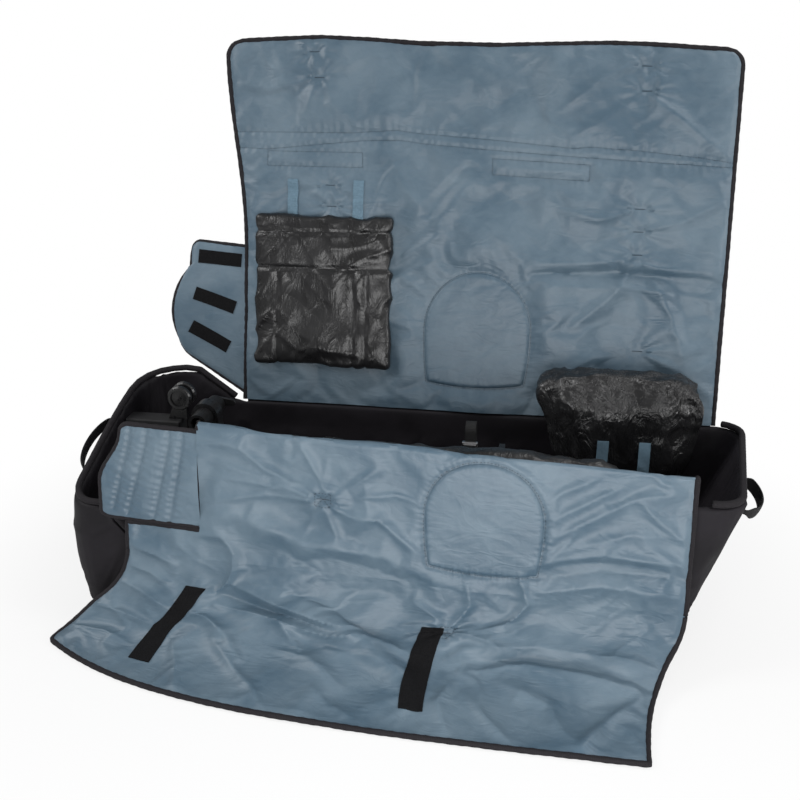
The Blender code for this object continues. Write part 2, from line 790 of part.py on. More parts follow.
def wall_place(pair, share):
    """A point on a wall's middle, a share of the way from its hem to its rim."""
    low, high = pair
    top = top_height(high.x, high.y)
    first = 1 / wall_rows
    if share < first + 0.001:
        z = mix(wall_hem, wall_foot, share / first)
    else:
        z = mix(wall_foot, top, (share - first) / (1 - first))
    flat = mix(low, high, flare(z))
    return Vector((flat.x, flat.y, z))


def flare(z):
    """How far a wall at a height has gone from its upright foot to its rim."""
    return min(max((z - wall_foot) / (rim_height - wall_foot), 0), 1)


def on_wall(name, y, z):
    """The point of an end wall's middle at a depth and a height."""
    path = sorted(PATHS[name], key=lambda pair: pair[1].y)
    line = [mix(low, high, flare(z)) for low, high in path]
    for a, b in zip(line, line[1:]):
        if a.y <= y <= b.y:
            return Vector((mix(a.x, b.x, (y - a.y) / (b.y - a.y)), y, z))
    return Vector((line[-1].x, y, z))


def end_frame(name, y, z):
    """A frame on an end wall's middle: X along the wall, Y up it, and Z out of it."""
    step = 0.02
    side = on_wall(name, y + step, z) - on_wall(name, y - step, z)
    along = side.normalized() * (1 if name == "right_end_wall" else -1)
    up = (on_wall(name, y, z + step) - on_wall(name, y, z - step)).normalized()
    out = along.cross(up).normalized()
    up = out.cross(along)
    place = Matrix((along, up, out)).transposed().to_4x4()
    place.translation = on_wall(name, y, z)
    return place


def make_walls():
    """Front, rear and end walls, each a padded panel."""
    for name, path in PATHS.items():
        last = len(path) - 1

        def place(u, v, path=path, last=last):
            return wall_place(path[round(u * last)], v)

        sheet(name, last, wall_rows, place, wall_thickness, SHELL)


def rim_points(path):
    """The centre line of the binding on a wall's upper edge."""
    tops = [wall_place(pair, 1.0) for pair in path]
    line = []
    for i, top in enumerate(tops):
        into = (top - tops[max(i - 1, 0)]) if i else tops[1] - top
        out = (tops[i + 1] - top) if i + 1 < len(tops) else into
        run = (into.normalized() + out.normalized()).normalized()
        up = (Vector((0, 0, 1)) - run * run.z).normalized()
        line.append(top + up * (binding_radius + 3 * gap) / math.cos(into.angle(out) / 2))
    return line


def make_bindings():
    """The bound edge of both ends, where no flap is sewn on."""
    front, rear = rim_points(PATHS["front_wall"]), rim_points(PATHS["rear_wall"])
    slack = binding_radius + 0.002
    left = ([p for p in rear if p.x < rear_left - slack] + rim_points(PATHS["left_end_wall"])
            + [p for p in front if p.x < front_left - slack])
    tube("left_rim_binding", left, binding_radius, WEBBING)
    right = ([p for p in front if p.x > front_right + slack]
             + [p for p in rim_points(PATHS["right_end_wall"]) if p.y < 0 or p.x > rear_right + slack])
    tube("right_rim_binding", right, binding_radius, WEBBING)


# Rear flap
def rear_point(x, s, out=0.0):
    """A point of the rear flap at X, s up from its hinge, and out from its middle on the outer side."""
    return rear_hinge + Vector((x, 0, 0)) + rear_up * s + rear_out * out


def rear_edges(s):
    """The rear flap's left and right edges."""
    rise = smooth((s - rear_fold * 0.6) / (rear_top + rear_fold * 0.4))
    return mix(rear_left, rear_left_top, rise), rear_right


def slump(x, s):
    """How far the side panel bellies out between its sewn edges."""
    left, right = rear_edges(s)
    across = math.sin(math.pi * min(max((x - left) / (right - left), 0), 1))
    along = math.sin(math.pi * min(max(s / rear_fold, 0), 1))
    return slump_depth * across * along * math.sin(5 * x + 7 * s) ** 2


def make_rear_flap():
    """The side panel, the top panel past the fold seam, and the ear with its hook strips."""
    def side(u, v):
        s = mix(-half_flap, rear_fold - gap, v)
        left, right = rear_edges(s)
        x = mix(left, right, u)
        return rear_point(x, s, slump(x, s))

    def top(u, v):
        s = rear_fold + gap + v * (rear_top - gap)
        left, right = rear_edges(s)
        return rear_point(mix(left, right, u), s)

    soften(sheet("rear_flap", 20, 12, side, flap_thickness, LINING), half_flap - gap, 3)
    sheet("rear_top_panel", 20, 4, top, flap_thickness, LINING, corners=((0, 1), (1, 1)), radius=rear_corner)

    def ear(u, v):
        low = rear_ear_bottom + rear_ear_cut * u
        s = mix(low, rear_ear_height + rear_ear_bottom + 0.010 * u, v)
        width = mix(rear_ear_neck, rear_ear_width, math.sin(math.pi * min(v + 0.18, 0.999)) ** 0.7)
        return rear_point(rear_left - gap - width * u, s)

    sheet("rear_ear", 6, 9, ear, flap_thickness, LINING, corners=((1, 1), (1, 0)), radius=ear_corner)
    inner = -half_flap - gap - hook_thickness / 2
    for name, side, s, tilt in ear_hooks:
        middle = rear_point(rear_left - side, s, inner)
        face = Matrix.Translation(middle) @ Matrix.Rotation(-rear_lean, 4, "X") @ facing_y
        half = (ear_hook_length / 2, ear_hook_width / 2)
        outline = rounded_box((-half[0], -half[1]), half, hook_corner, 2)
        plate(name + "_ear_hook", [outline], hook_thickness,
              face @ Matrix.Rotation(math.radians(-tilt), 4, "Z"), HOOK)


def arch(u, v):
    """A square from -1 to 1 drawn in to a round top and a broad foot."""
    share = patch_top if v > 0 else patch_foot
    return u * math.sqrt(1 - share * v * v), v * math.sqrt(1 - share * u * u)


def make_rear_patch():
    """The round padded patch on the rear flap's lining."""
    inner = -half_flap - gap - slump_room - patch_thickness / 2

    def place(u, v):
        a, b = arch(2 * u - 1, 2 * v - 1)
        x, s = rear_patch_x + a * patch_width / 2, rear_patch_s + b * patch_height / 2
        return rear_point(x, s, slump(x, s) + inner)

    sheet("rear_hub_patch", 10, 10, place, patch_thickness, LINING)


def make_rear_loops():
    """Two loop tapes on the rear flap's outer face, below the fold seam."""
    outer = half_flap + gap + slump_room + hook_thickness / 2
    for name, left, drop in (("left_loop_tape", left_loop_x, left_loop_drop),
                             ("right_loop_tape", right_loop_x, right_loop_drop)):
        def place(u, v, left=left, s=rear_fold - drop):
            x, up = left + u * loop_length, s - loop_width / 2 + v * loop_width
            return rear_point(x, up, slump(x, up) + outer)

        sheet(name, 8, 2, place, hook_thickness, HOOK)


# Front flap
def crest(x):
    """The height of the front flap's crest at X."""
    return crest_height + crest_slope * x


def front_point(x, d, out=0.0):
    """A point of the front flap at X, d down from its crest, and out from its middle."""
    return Vector((x, front_hinge_y, crest(x))) + front_down * d + front_out * out


def make_front_flap():
    """The strip from the rim to the crest, and the panel that hangs down outside."""
    def root(u, v):
        x = mix(front_left, front_right, u)
        return Vector((x, root_y, mix(rim_height + gap, crest(x) + half_flap * 0.5, v)))

    sheet("front_flap_root", 18, 3, root, flap_thickness, LINING)

    def panel(u, v):
        x = mix(front_left_low, front_right, u)
        return front_point(x, v * (front_drop - gap))

    flap = sheet("front_flap", 20, 6, panel, flap_thickness, LINING)
    corner = front_point(front_left, slot_drop)
    tool = block("ear_space", (front_left_low - 0.1, corner.y - 0.1, corner.z),
                 (front_left, corner.y + 0.1, crest(front_left) + 0.1), collection=cutters)
    cut(flap, tool)

    def ear(u, v):
        tip = mix(front_ear_tip, front_ear_width, smooth(v * 1.6))
        x = front_left - gap - u * tip
        return front_point(x, mix(front_ear_head, slot_drop - slot_width, v))

    sheet("front_ear", 10, 6, ear, flap_thickness, LINING, corners=((1, 0), (1, 1)), radius=ear_corner * 0.8)
    inner = -half_flap - gap - hook_thickness / 2
    for name, side in ear_loops:
        def place(u, v, x=front_left - side):
            return front_point(x + (u - 0.5) * ear_loop_width, ear_loop_head + v * ear_loop_length, inner)

        sheet(name, 2, 6, place, hook_thickness, HOOK)

    def patch(u, v):
        a, b = arch(2 * u - 1, 2 * v - 1)
        x = front_patch_x + a * patch_width / 2
        d = front_patch_d - b * front_patch_share * patch_height / 2
        return front_point(x, d, half_flap + gap + patch_thickness / 2)

    sheet("front_hub_patch", 10, 10, patch, patch_thickness, LINING)
    pivot(front_point(0, 0), "front_flap", "front_hub_patch")
    pivot(front_point(front_left, slot_drop / 2, half_flap), "front_ear", "outer_ear_loop", "inner_ear_loop")


def end_point(u, v):
    """A point of the front flap's end: down from the bend, round the knee, and out along the ground."""
    x = mix(mix(front_left_low, end_left, smooth(v)), mix(front_right, end_right, smooth(v)), u)
    start = front_point(x, front_drop + gap)
    first = front_point(x, front_drop + gap + end_fall)
    ground = half_flap + end_lift
    reach = mix(end_reach, end_reach_left, math.exp(-(x - end_left) / end_reach_run))
    knee = mix(first.y, -reach, end_knee)
    a, b, c, d = (1 - v) ** 3, 3 * v * (1 - v) ** 2, 3 * v * v * (1 - v), v ** 3
    y = start.y * a + first.y * b + knee * c - reach * d
    z = start.z * a + first.z * b + ground * (c + d)
    level = 16 * (v * (1 - v)) ** 2
    ripple = end_ripple * math.sin(9 * x + 7 * v) ** 2
    fold = end_fold * math.exp(-((x + 0.30 - 0.5 * v) / 0.05) ** 2)
    return Vector((x, y, z + level * (ripple + fold)))


def make_front_end():
    """The front flap's end panel, and the two hook strips on it."""
    sheet("front_flap_end", 24, 14, end_point, flap_thickness, LINING, corners=((0, 1), (1, 1)),
          radius=rear_corner * 0.6)

    def strip(name, u0, v0, u1, v1):
        lift = half_flap + gap + hook_thickness / 2 + facet_room

        def place(u, v):
            centre_u, centre_v = mix(u0, u1, v), mix(v0, v1, v)
            width = hook_width / (end_right - end_left)
            base = end_point(centre_u + (u - 0.5) * width, centre_v)
            near = end_point(centre_u + (u - 0.5) * width, centre_v + 0.01)
            side = end_point(centre_u + (u - 0.5) * width + 0.01, centre_v)
            normal = (side - base).cross(near - base).normalized()
            if normal.z < 0:
                normal = -normal
            return base + normal * lift

        sheet(name, 3, 10, place, hook_thickness, HOOK)

    strip("left_hook_strip", *left_strip)
    strip("right_hook_strip", *right_strip)
    pivot(front_point(0, front_drop, half_flap), "front_flap_end", "left_hook_strip", "right_hook_strip")


# Handles
def handle_frame(name):
    """The frame of a handle's middle on its wall. The left one is sewn on parallel to the falling rim."""
    if name == "left":
        tilt = Matrix.Rotation(-left_handle_tilt, 4, "Z")
        return end_frame("left_end_wall", left_handle_y, left_handle_z) @ tilt
    return end_frame("right_end_wall", right_handle_y, handle_z)


def make_handles():
    """The grab handles of both ends on their sewn patches, and the small tab at the wheeled end."""
    for name, room in (("left", gap), ("right", facet_room)):
        place = handle_frame(name)
        foot = wall_thickness / 2 + gap + room
        pivot_height = foot + handle_patch + gap + handle_tip / 2
        half = (handle_span / 2 + handle_patch_end, handle_width / 2 + handle_patch_side)
        outline = rounded_box((-half[0], -half[1]), half, 0.004, 2)
        plate(name + "_handle_patch", [outline], handle_patch,
              place @ Matrix.Translation((0, 0, foot + handle_patch / 2)), WEBBING)

        def band(u, v, place=place, foot=pivot_height - handle_tip / 2):
            angle = math.pi * u
            end = min(u, 1 - u) * math.pi * handle_stand
            width = mix(handle_tip, handle_width, smooth((end - handle_tip / 2) / (handle_width * 0.7)))
            return place @ Vector((handle_span / 2 * math.cos(angle), (v - 0.5) * width,
                                   foot + (handle_stand + handle_tip / 2) * math.sin(angle)))

        sheet(name + "_handle", 24, 2, band, handle_thickness, WEBBING,
              corners=((0, 0), (0, 1), (1, 0), (1, 1)), radius=handle_tip / 2 - gap)
        pivot(place @ Vector((0, 0, pivot_height)), name + "_handle")
    place = end_frame("right_end_wall", tab_y, handle_z)
    foot = wall_thickness / 2 + 2 * gap
    outline = [(foot, -tab_length / 2), (foot + tab_reach, -0.002), (foot + tab_reach, 0.002),
               (foot, tab_length / 2)]
    plate("pull_tab", [outline], handle_thickness, place @ Matrix.Rotation(math.radians(-90), 4, "Y"), WEBBING)


# Bags
def soft_block(name, low, high, finish, foot=None):
    """A stuffed bag: a coarse cage that subdivision rounds. Its foot may be narrower, from X to X."""
    low, high = Vector(low), Vector(high)
    bm = bmesh.new()
    bmesh.ops.create_cube(bm, size=1)
    bmesh.ops.subdivide_edges(bm, edges=bm.edges, cuts=2, use_grid_fill=True)
    for vertex in bm.verts:
        u, v, w = (part + 0.5 for part in vertex.co)
        left, right = foot or (low.x, high.x)
        x = mix(mix(left, right, u), mix(low.x, high.x, u), w)
        vertex.co = (x, mix(low.y, high.y, v), mix(low.z, high.z, w))
    item = add_part(name, mesh_of(bm, name), finish)
    rounding = item.modifiers.new("round", "SUBSURF")
    rounding.levels = 2
    rounding.render_levels = 2
    return item


def make_bags():
    """The wheel bag behind the front wall, and the drivetrain pouch at the wheeled end."""
    y = -tray_depth / 2 + tray_wall + gap
    soft_block("wheel_bag", (bag_left, y, floor_top + gap), (bag_right, y + bag_thickness, bag_top), GLOSSY)
    top = wheel_height + wheel_radius + wheel_clearance + housing_wall
    rear = tray_depth / 2 - tray_wall - gap
    front = rear - pouch_depth
    soft_block("drivetrain_pouch", (pouch_left, front, top + gap), (pouch_right, rear, pouch_top), GLOSSY,
               (pouch_left_low, pouch_right_low))
    low, high = mix(top, pouch_top, 1 / 3), mix(top, pouch_top, 2 / 3)
    for name, share in (("left_pouch_strap", 1 / 3), ("right_pouch_strap", 2 / 3)):
        x = mix(mix(pouch_left_low, pouch_right_low, share), mix(pouch_left, pouch_right, share), 1 / 2)
        block(name, (x - pad_strap_width / 2, front - gap - strap_thickness, low),
              (x + pad_strap_width / 2, front - gap, high), BLUE_WEB)


def make_pad():
    """The quilted frame cover that is stowed against the rear flap, hung by two straps."""
    seat = -half_flap - 3 * gap

    def place(u, v):
        x, s = mix(pad_left, pad_right, u), mix(pad_bottom, pad_top, v)
        return rear_point(x, s, slump(x, s) + seat - pad_thickness / 2)

    pad = sheet("frame_cover", 12, 10, place, pad_thickness, GLOSSY)
    soften(pad, pad_edge, 2)
    for name, x in (("left_cover_strap", pad_left + pad_strap_inset),
                    ("right_cover_strap", pad_right - pad_strap_inset)):
        def strap(u, v, x=x):
            s = pad_top + gap * 2 + v * pad_strap_length
            across = x + (u - 0.5) * pad_strap_width
            return rear_point(across, s, slump(across, s) + seat - strap_thickness / 2)

        sheet(name, 1, 4, strap, strap_thickness, BLUE_WEB)
    pivot(rear_hinge, "rear_flap", "rear_hub_patch", "left_loop_tape", "right_loop_tape", "frame_cover",
          "left_cover_strap", "right_cover_strap")
    pivot(rear_point(0, rear_fold, -half_flap), "rear_top_panel")
    pivot(rear_point(rear_left, rear_ear_height / 2, -half_flap), "rear_ear", "upper_ear_hook",
          "middle_ear_hook", "lower_ear_hook")
    pivot(Vector((caster_stem_x, caster_y, caster_socket_top)), "caster_arm")


PATHS = wall_paths()
make_tray()
make_skids()
make_rails()
make_fork_mount()
make_cradle()
make_wheels()
make_caster()
make_walls()
make_bindings()
make_rear_flap()
make_rear_patch()
make_rear_loops()
make_front_flap()
make_front_end()
make_handles()
make_bags()
make_pad()
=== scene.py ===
"""The looks of a soft bike travel case that stands open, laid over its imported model.

Metres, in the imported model's frame: +X runs along the case to its wheeled end, +Y to the rear flap, +Z up.
The case is dark outside and lined with blue-grey nylon. Its rear flap stands up behind the base. Its front flap
is turned over its crest, hangs down outside the front wall and runs out over the ground.
"""

from __future__ import annotations

import json
import logging
import math
from collections.abc import Callable, Sequence
from dataclasses import dataclass, field
from enum import Enum

import bmesh
import bpy
import numpy as np
from mathutils import Matrix, Vector
from mathutils.bvhtree import BVHTree

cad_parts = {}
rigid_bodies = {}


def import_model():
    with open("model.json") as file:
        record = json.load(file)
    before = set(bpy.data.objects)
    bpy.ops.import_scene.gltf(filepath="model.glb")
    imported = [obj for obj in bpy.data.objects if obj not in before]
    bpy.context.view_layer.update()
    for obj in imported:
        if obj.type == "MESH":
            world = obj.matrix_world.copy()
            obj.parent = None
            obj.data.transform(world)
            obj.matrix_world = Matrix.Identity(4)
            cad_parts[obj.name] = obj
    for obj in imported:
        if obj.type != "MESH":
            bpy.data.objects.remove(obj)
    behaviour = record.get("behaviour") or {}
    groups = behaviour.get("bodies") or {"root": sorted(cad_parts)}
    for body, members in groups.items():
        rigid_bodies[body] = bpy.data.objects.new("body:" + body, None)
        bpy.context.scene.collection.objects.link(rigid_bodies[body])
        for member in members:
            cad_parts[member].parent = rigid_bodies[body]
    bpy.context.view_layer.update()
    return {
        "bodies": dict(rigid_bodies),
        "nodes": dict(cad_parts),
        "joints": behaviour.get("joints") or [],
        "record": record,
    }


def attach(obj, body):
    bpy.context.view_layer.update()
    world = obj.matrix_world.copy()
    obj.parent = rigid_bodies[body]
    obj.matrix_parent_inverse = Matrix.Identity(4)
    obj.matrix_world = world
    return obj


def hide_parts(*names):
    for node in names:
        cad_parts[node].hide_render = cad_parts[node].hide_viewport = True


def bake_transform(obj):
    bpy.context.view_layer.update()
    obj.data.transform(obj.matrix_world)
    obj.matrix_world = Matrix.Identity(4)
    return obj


Array = np.ndarray
Line = tuple[tuple[float, float], ...]
Colour = tuple[float, float, float]

log = logging.getLogger("bike_case")


# Plain helpers
def step(value: Array) -> Array:
    """A step from 0 to 1 with level ends.

    Args:
        value: the place along the step, 0 at its foot and 1 at its head.

    Returns:
        The height of the step there.
    """
    share = np.clip(value, 0.0, 1.0)
    return share * share * (3.0 - 2.0 * share)


def mix(first: Array | float, second: Array | float, share: Array | float) -> Array | float:
    """The value a share of the way from the first to the second."""
    return first + (second - first) * share


def unit(vectors: Array) -> Array:
    """Vectors along the last axis brought to length 1."""
    return vectors / np.maximum(np.linalg.norm(vectors, axis=-1, keepdims=True), 1e-12)


def line_distance(points: Line, x: Array, y: Array) -> tuple[Array, Array, float]:
    """How far places lie from a broken line.

    Args:
        points: the line's corners.
        x: the places' first coordinate.
        y: the places' second coordinate.

    Returns:
        The distance, the distance gone along the line to the nearest point, and the line's length.
    """
    best = np.full(np.shape(x), np.inf)
    along = np.zeros(np.shape(x))
    gone = 0.0
    for (x0, y0), (x1, y1) in zip(points, points[1:]):
        dx, dy = x1 - x0, y1 - y0
        length = math.hypot(dx, dy)
        share = np.clip(((x - x0) * dx + (y - y0) * dy) / (length * length), 0, 1)
        away = np.hypot(x - x0 - share * dx, y - y0 - share * dy)
        nearer = away < best
        best = np.where(nearer, away, best)
        along = np.where(nearer, gone + share * length, along)
        gone += length
    return best, along, gone


class Billows:
    """Smooth noise over a plane, the same on every run."""

    cells = 97
    strength = 0.6

    def __init__(self, seed: int) -> None:
        """Draw the lattice that the noise is read from."""
        self.lattice = np.random.default_rng(seed).standard_normal((self.cells, self.cells))

    def at(self, x: Array, y: Array) -> Array:
        """The noise at places that are given in cells of the lattice.

        Args:
            x: the places' first coordinate.
            y: the places' second coordinate.

        Returns:
            Values of about -1 to 1.
        """
        column, row = np.floor(x).astype(int), np.floor(y).astype(int)
        fx, fy = (share * share * share * (share * (share * 6 - 15) + 10) for share in (x - column, y - row))
        left, right = column % self.cells, (column + 1) % self.cells
        low, high = row % self.cells, (row + 1) % self.cells
        bottom = mix(self.lattice[low, left], self.lattice[low, right], fx)
        top = mix(self.lattice[high, left], self.lattice[high, right], fx)
        return self.strength * mix(bottom, top, fy)

    def wrinkles(self, x: Array, y: Array, size: float, turn: float, stretch: float) -> Array:
        """Long narrow folds that run one way, with their course bent.

        Args:
            x: the places' first coordinate in metres.
            y: the places' second coordinate in metres.
            size: the distance between folds in metres.
            turn: the folds' direction in degrees.
            stretch: how many times longer than wide they are.

        Returns:
            Values of about -1 to 1, sharp along the folds' tops.
        """
        angle = math.radians(turn)
        along = (x * math.cos(angle) + y * math.sin(angle)) / (size * stretch)
        across = (y * math.cos(angle) - x * math.sin(angle)) / size
        bend = self.at(along * 0.9 + 11.3, across * 0.35 + 4.1)
        value = self.at(along + 31.7, across + 1.3 * bend)
        return 1.0 - 2.0 * np.abs(value) ** 0.8


# Relief of the cloth
@dataclass(frozen=True)
class Fold:
    """A crease or a soft ridge along a line on a flap."""

    points: Line
    width: float
    height: float
    sharp: float = 1.35
    strength: float = 1.7

    def lift(self, x: Array, y: Array) -> Array:
        """The fold's height over the flap.

        Args:
            x: places across the flap.
            y: places along the flap.

        Returns:
            The height in metres.
        """
        away, along, length = line_distance(self.points, x, y)
        taper = np.sin(np.pi * np.clip((along + 0.08 * length) / (1.16 * length), 0, 1)) ** 0.6
        return self.strength * self.height * taper * np.exp(-(away / self.width) ** self.sharp)


def fold(width: float, height: float, *corners: float, sharp: float = Fold.sharp) -> Fold:
    """A fold in millimetres: its width, its height, and its corners' places across and along in turn."""
    points = tuple((x / 1000, y / 1000) for x, y in zip(corners[::2], corners[1::2]))
    return Fold(points, width / 1000, height / 1000, sharp)


@dataclass(frozen=True)
class Tack:
    """A bar of dense stitches that pulls both faces of the pad together, with puckers round it."""

    x: float
    y: float
    half: float = 0.010
    depth: float = 0.0042
    reach: float = 0.045
    rays: float = 0.0030
    count: int = 7
    squash: float = 0.7
    clear: float = 0.012
    pinch: float = 0.0075
    ring: float = 0.020
    ring_width: float = 0.014
    ring_share: float = 0.35

    def lift(self, x: Array, y: Array) -> Array:
        """The dent, the swollen ring and the rays round it, turned differently for each tack.

        Args:
            x: places across the flap.
            y: places along the flap.

        Returns:
            The height in metres.
        """
        away, _, _ = line_distance(((self.x - self.half, self.y), (self.x + self.half, self.y)), x, y)
        angle = np.arctan2(y - self.y, (x - self.x) * self.squash)
        turn = self.count * angle + 9.0 * math.sin(41.0 * self.x + 17.0 * self.y) + 1.5 * np.sin(2 * angle)
        rays = self.rays * np.cos(turn) * np.exp(-away / self.reach) * step(away / self.clear)
        swell = self.ring_share * self.depth * np.exp(-((away - self.ring) / self.ring_width) ** 2)
        return rays + swell - self.depth * np.exp(-(away / self.pinch) ** 2)


@dataclass(frozen=True)
class Seam:
    """A stitched line: a narrow groove, with short puckers across it."""

    points: Line
    depth: float = 0.0034
    width: float = 0.0046
    pucker: float = 0.0009
    pitch: float = 0.014
    reach: float = 0.012
    uneven: tuple[tuple[float, float], ...] = ((2.2, 31.0), (1.4, 83.0))

    def lift(self, x: Array, y: Array) -> Array:
        """The groove and its puckers, whose pitch varies along the seam.

        Args:
            x: places across the flap.
            y: places along the flap.

        Returns:
            The height in metres.
        """
        away, along, _ = line_distance(self.points, x, y)
        turn = 2 * np.pi * along / self.pitch
        for size, rate in self.uneven:
            turn = turn + size * np.sin(rate * along)
        puckers = self.pucker * np.cos(turn) * np.exp(-(away / self.reach) ** 2)
        return puckers - self.depth * np.exp(-(away / self.width) ** 2)


@dataclass(frozen=True)
class Relief:
    """Everything that lifts or dents one face of a flap."""

    folds: tuple[Fold, ...] = ()
    tacks: tuple[Tack, ...] = ()
    seams: tuple[Seam, ...] = ()
    seed: int = 1
    billow: float = 0.003
    wrinkle: float = 0.0012
    turn: float = 35.0
    flat: tuple[float, float, float] | None = None
    broad: tuple[float, float] = (0.16, 0.13)
    narrow: tuple[float, float] = (0.075, 0.09)
    fields: tuple[float, float] = (0.13, 0.11)
    fold_pitch: float = 0.040
    cross_pitch: float = 0.028
    seam_run: float = 0.030

    def lift(self, x: Array, y: Array) -> Array:
        """The height of the face over its flap: billows, wrinkles of two courses, folds, tacks and seams.

        Args:
            x: places across the flap in metres.
            y: places along the flap in metres.

        Returns:
            The height in metres.
        """
        noise = Billows(self.seed)
        wide = noise.at(x / self.broad[0], y / self.broad[1])
        height = self.billow * (wide + 0.7 * noise.at(x / self.narrow[0] + 7, y / self.narrow[1] + 3))
        fade = step(0.5 + 1.2 * noise.at(x / self.fields[0] + 40, y / self.fields[1] + 20))
        height = height + self.wrinkle * fade * noise.wrinkles(x, y, self.fold_pitch, self.turn, 3.5)
        crossing = noise.wrinkles(x + 3, y, self.cross_pitch, self.turn - 70, 3.0)
        height = height + 0.6 * self.wrinkle * (1 - fade) * crossing
        calm = np.ones(np.shape(x))
        for seam in self.seams:
            away, _, _ = line_distance(seam.points, x, y)
            calm = np.minimum(calm, 0.25 + 0.75 * step(away / self.seam_run))
        height = height * calm
        for item in (*self.folds, *self.tacks):
            height = height + item.lift(x, y)
        if self.flat is not None:
            reach = self.flat[2]
            height = height * (0.18 + 0.82 * step((self.from_flat(x, y) - reach * 0.86) / (reach * 0.20)))
        for item in self.seams:
            height = height + item.lift(x, y)
        return height

    def from_flat(self, x: Array, y: Array) -> Array:
        """How far places are from the middle of the flat field under a patch, in rounded squares."""
        return (np.abs(x - self.flat[0]) ** 4 + np.abs(y - self.flat[1]) ** 4) ** 0.25


# Shader nodes
class Wire:
    """A node's output on which Python's operators work as Math nodes."""

    def __init__(self, graph: Graph, socket: bpy.types.NodeSocket) -> None:
        """Keep the socket and the graph that it belongs to."""
        self.graph = graph
        self.socket = socket

    def _math(self, operation: str, first: Wire | float, second: Wire | float) -> Wire:
        """A Math node of two values."""
        return self.graph.node("ShaderNodeMath", {"operation": operation}, {0: first, 1: second})

    def __add__(self, other: Wire | float) -> Wire:
        """Add."""
        return self._math("ADD", self, other)

    __radd__ = __add__

    def __sub__(self, other: Wire | float) -> Wire:
        """Subtract."""
        return self._math("SUBTRACT", self, other)

    def __rsub__(self, other: Wire | float) -> Wire:
        """Subtract this from the other."""
        return self._math("SUBTRACT", other, self)

    def __mul__(self, other: Wire | float) -> Wire:
        """Multiply."""
        return self._math("MULTIPLY", self, other)

    __rmul__ = __mul__

    def __pow__(self, other: Wire | float) -> Wire:
        """Raise to a power."""
        return self._math("POWER", self, other)

    def of(self, operation: str, second: float = 0.0) -> Wire:
        """A Math node of one value, such as SINE or ABSOLUTE, or of this and a number."""
        return self._math(operation, self, second)


class Graph:
    """The nodes of one material."""

    def __init__(self, name: str) -> None:
        """Start a material with a Principled shader.

        Args:
            name: the material's name.
        """
        self.material = bpy.data.materials.new(name)
        self.material.use_nodes = True
        self.tree = self.material.node_tree
        self.shader = self.tree.nodes["Principled BSDF"]

    def node(self, kind: str, settings: dict | None = None, inputs: dict | None = None,
             output: int | str = 0) -> Wire:
        """Add a node.

        Args:
            kind: the node's type.
            settings: its settings, and under "stops" a ramp's (place, colour) pairs.
            inputs: its sockets' values or links, by number or name.
            output: the socket that is handed back.

        Returns:
            The wire from that socket.
        """
        item = self.tree.nodes.new(kind)
        for name, value in (settings or {}).items():
            if name == "stops":
                self._stops(item, value)
            else:
                setattr(item, name, value)
        for key, value in (inputs or {}).items():
            if isinstance(value, Wire):
                self.tree.links.new(value.socket, item.inputs[key])
            else:
                item.inputs[key].default_value = value
        return Wire(self, item.outputs[output])

    @staticmethod
    def _stops(ramp: bpy.types.Node, stops: Sequence[tuple[float, float]]) -> None:
        """Set a ramp's grey stops."""
        elements = ramp.color_ramp.elements
        while len(elements) > 1:
            elements.remove(elements[-1])
        for number, (place, grey) in enumerate(stops):
            element = elements[0] if number == 0 else elements.new(place)
            element.position = place
            element.color = (grey, grey, grey, 1.0)

    def place(self) -> Wire:
        """Object coordinates, in metres."""
        return self.node("ShaderNodeTexCoord", output="Object")

    def cloth(self) -> Wire:
        """The cloth's own coordinates, in metres, from the piece's map."""
        return self.node("ShaderNodeUVMap", {"uv_map": "cloth"}, output="UV")

    def noise(self, place: Wire, scale: float, detail: float = 3.0, rough: float = 0.5, bend: float = 0.0) -> Wire:
        """A Noise texture of about 0.3 to 0.7, with scale features to a metre."""
        return self.node("ShaderNodeTexNoise", {"noise_dimensions": "3D"},
                         {"Vector": place, "Scale": scale, "Detail": detail, "Roughness": rough,
                          "Distortion": bend})

    def scaled(self, place: Wire, scale: tuple[float, float, float], turn: float = 0.0) -> Wire:
        """Coordinates stretched and turned by a Mapping node."""
        return self.node("ShaderNodeMapping", {}, {"Vector": place, "Scale": scale,
                                                   "Rotation": (0.0, 0.0, math.radians(turn))})

    def axis(self, place: Wire, name: str) -> Wire:
        """One of the coordinates."""
        return self.node("ShaderNodeSeparateXYZ", {}, {0: place}, name)

    def ramp(self, value: Wire, *stops: tuple[float, float]) -> Wire:
        """A value sent through a ramp of greys."""
        return self.node("ShaderNodeValToRGB", {"stops": stops}, {0: value})

    def colours(self, first: Colour, second: Colour, share: Wire) -> Wire:
        """A colour between two others."""
        return self.node("ShaderNodeMix", {"data_type": "RGBA"}, {0: share, 6: (*first, 1), 7: (*second, 1)}, 2)

    def bump(self, height: Wire, distance: float, strength: float = 1.0, under: Wire | None = None) -> Wire:
        """A Bump node.

        Args:
            height: the relief, from 0 to 1.
            distance: the relief's real height in metres.
            strength: how much of it shows.
            under: another Bump that this one lies on.

        Returns:
            The bent normal.
        """
        inputs = {"Strength": strength, "Distance": distance, "Height": height}
        if under is not None:
            inputs["Normal"] = under
        return self.node("ShaderNodeBump", {}, inputs)

    def dress(self, **channels: Wire | float | tuple) -> bpy.types.Material:
        """Set or link the shader's sockets.

        Args:
            channels: the sockets by name, with _ for a space.

        Returns:
            The material.
        """
        for name, value in channels.items():
            socket = self.shader.inputs[name.replace("_", " ")]
            if isinstance(value, Wire):
                self.tree.links.new(value.socket, socket)
            else:
                socket.default_value = value
        return self.material


# Finishes
class Coordinates(Enum):
    """What a pattern follows."""

    CLOTH = "the piece's own map"
    OBJECT = "the object's frame"


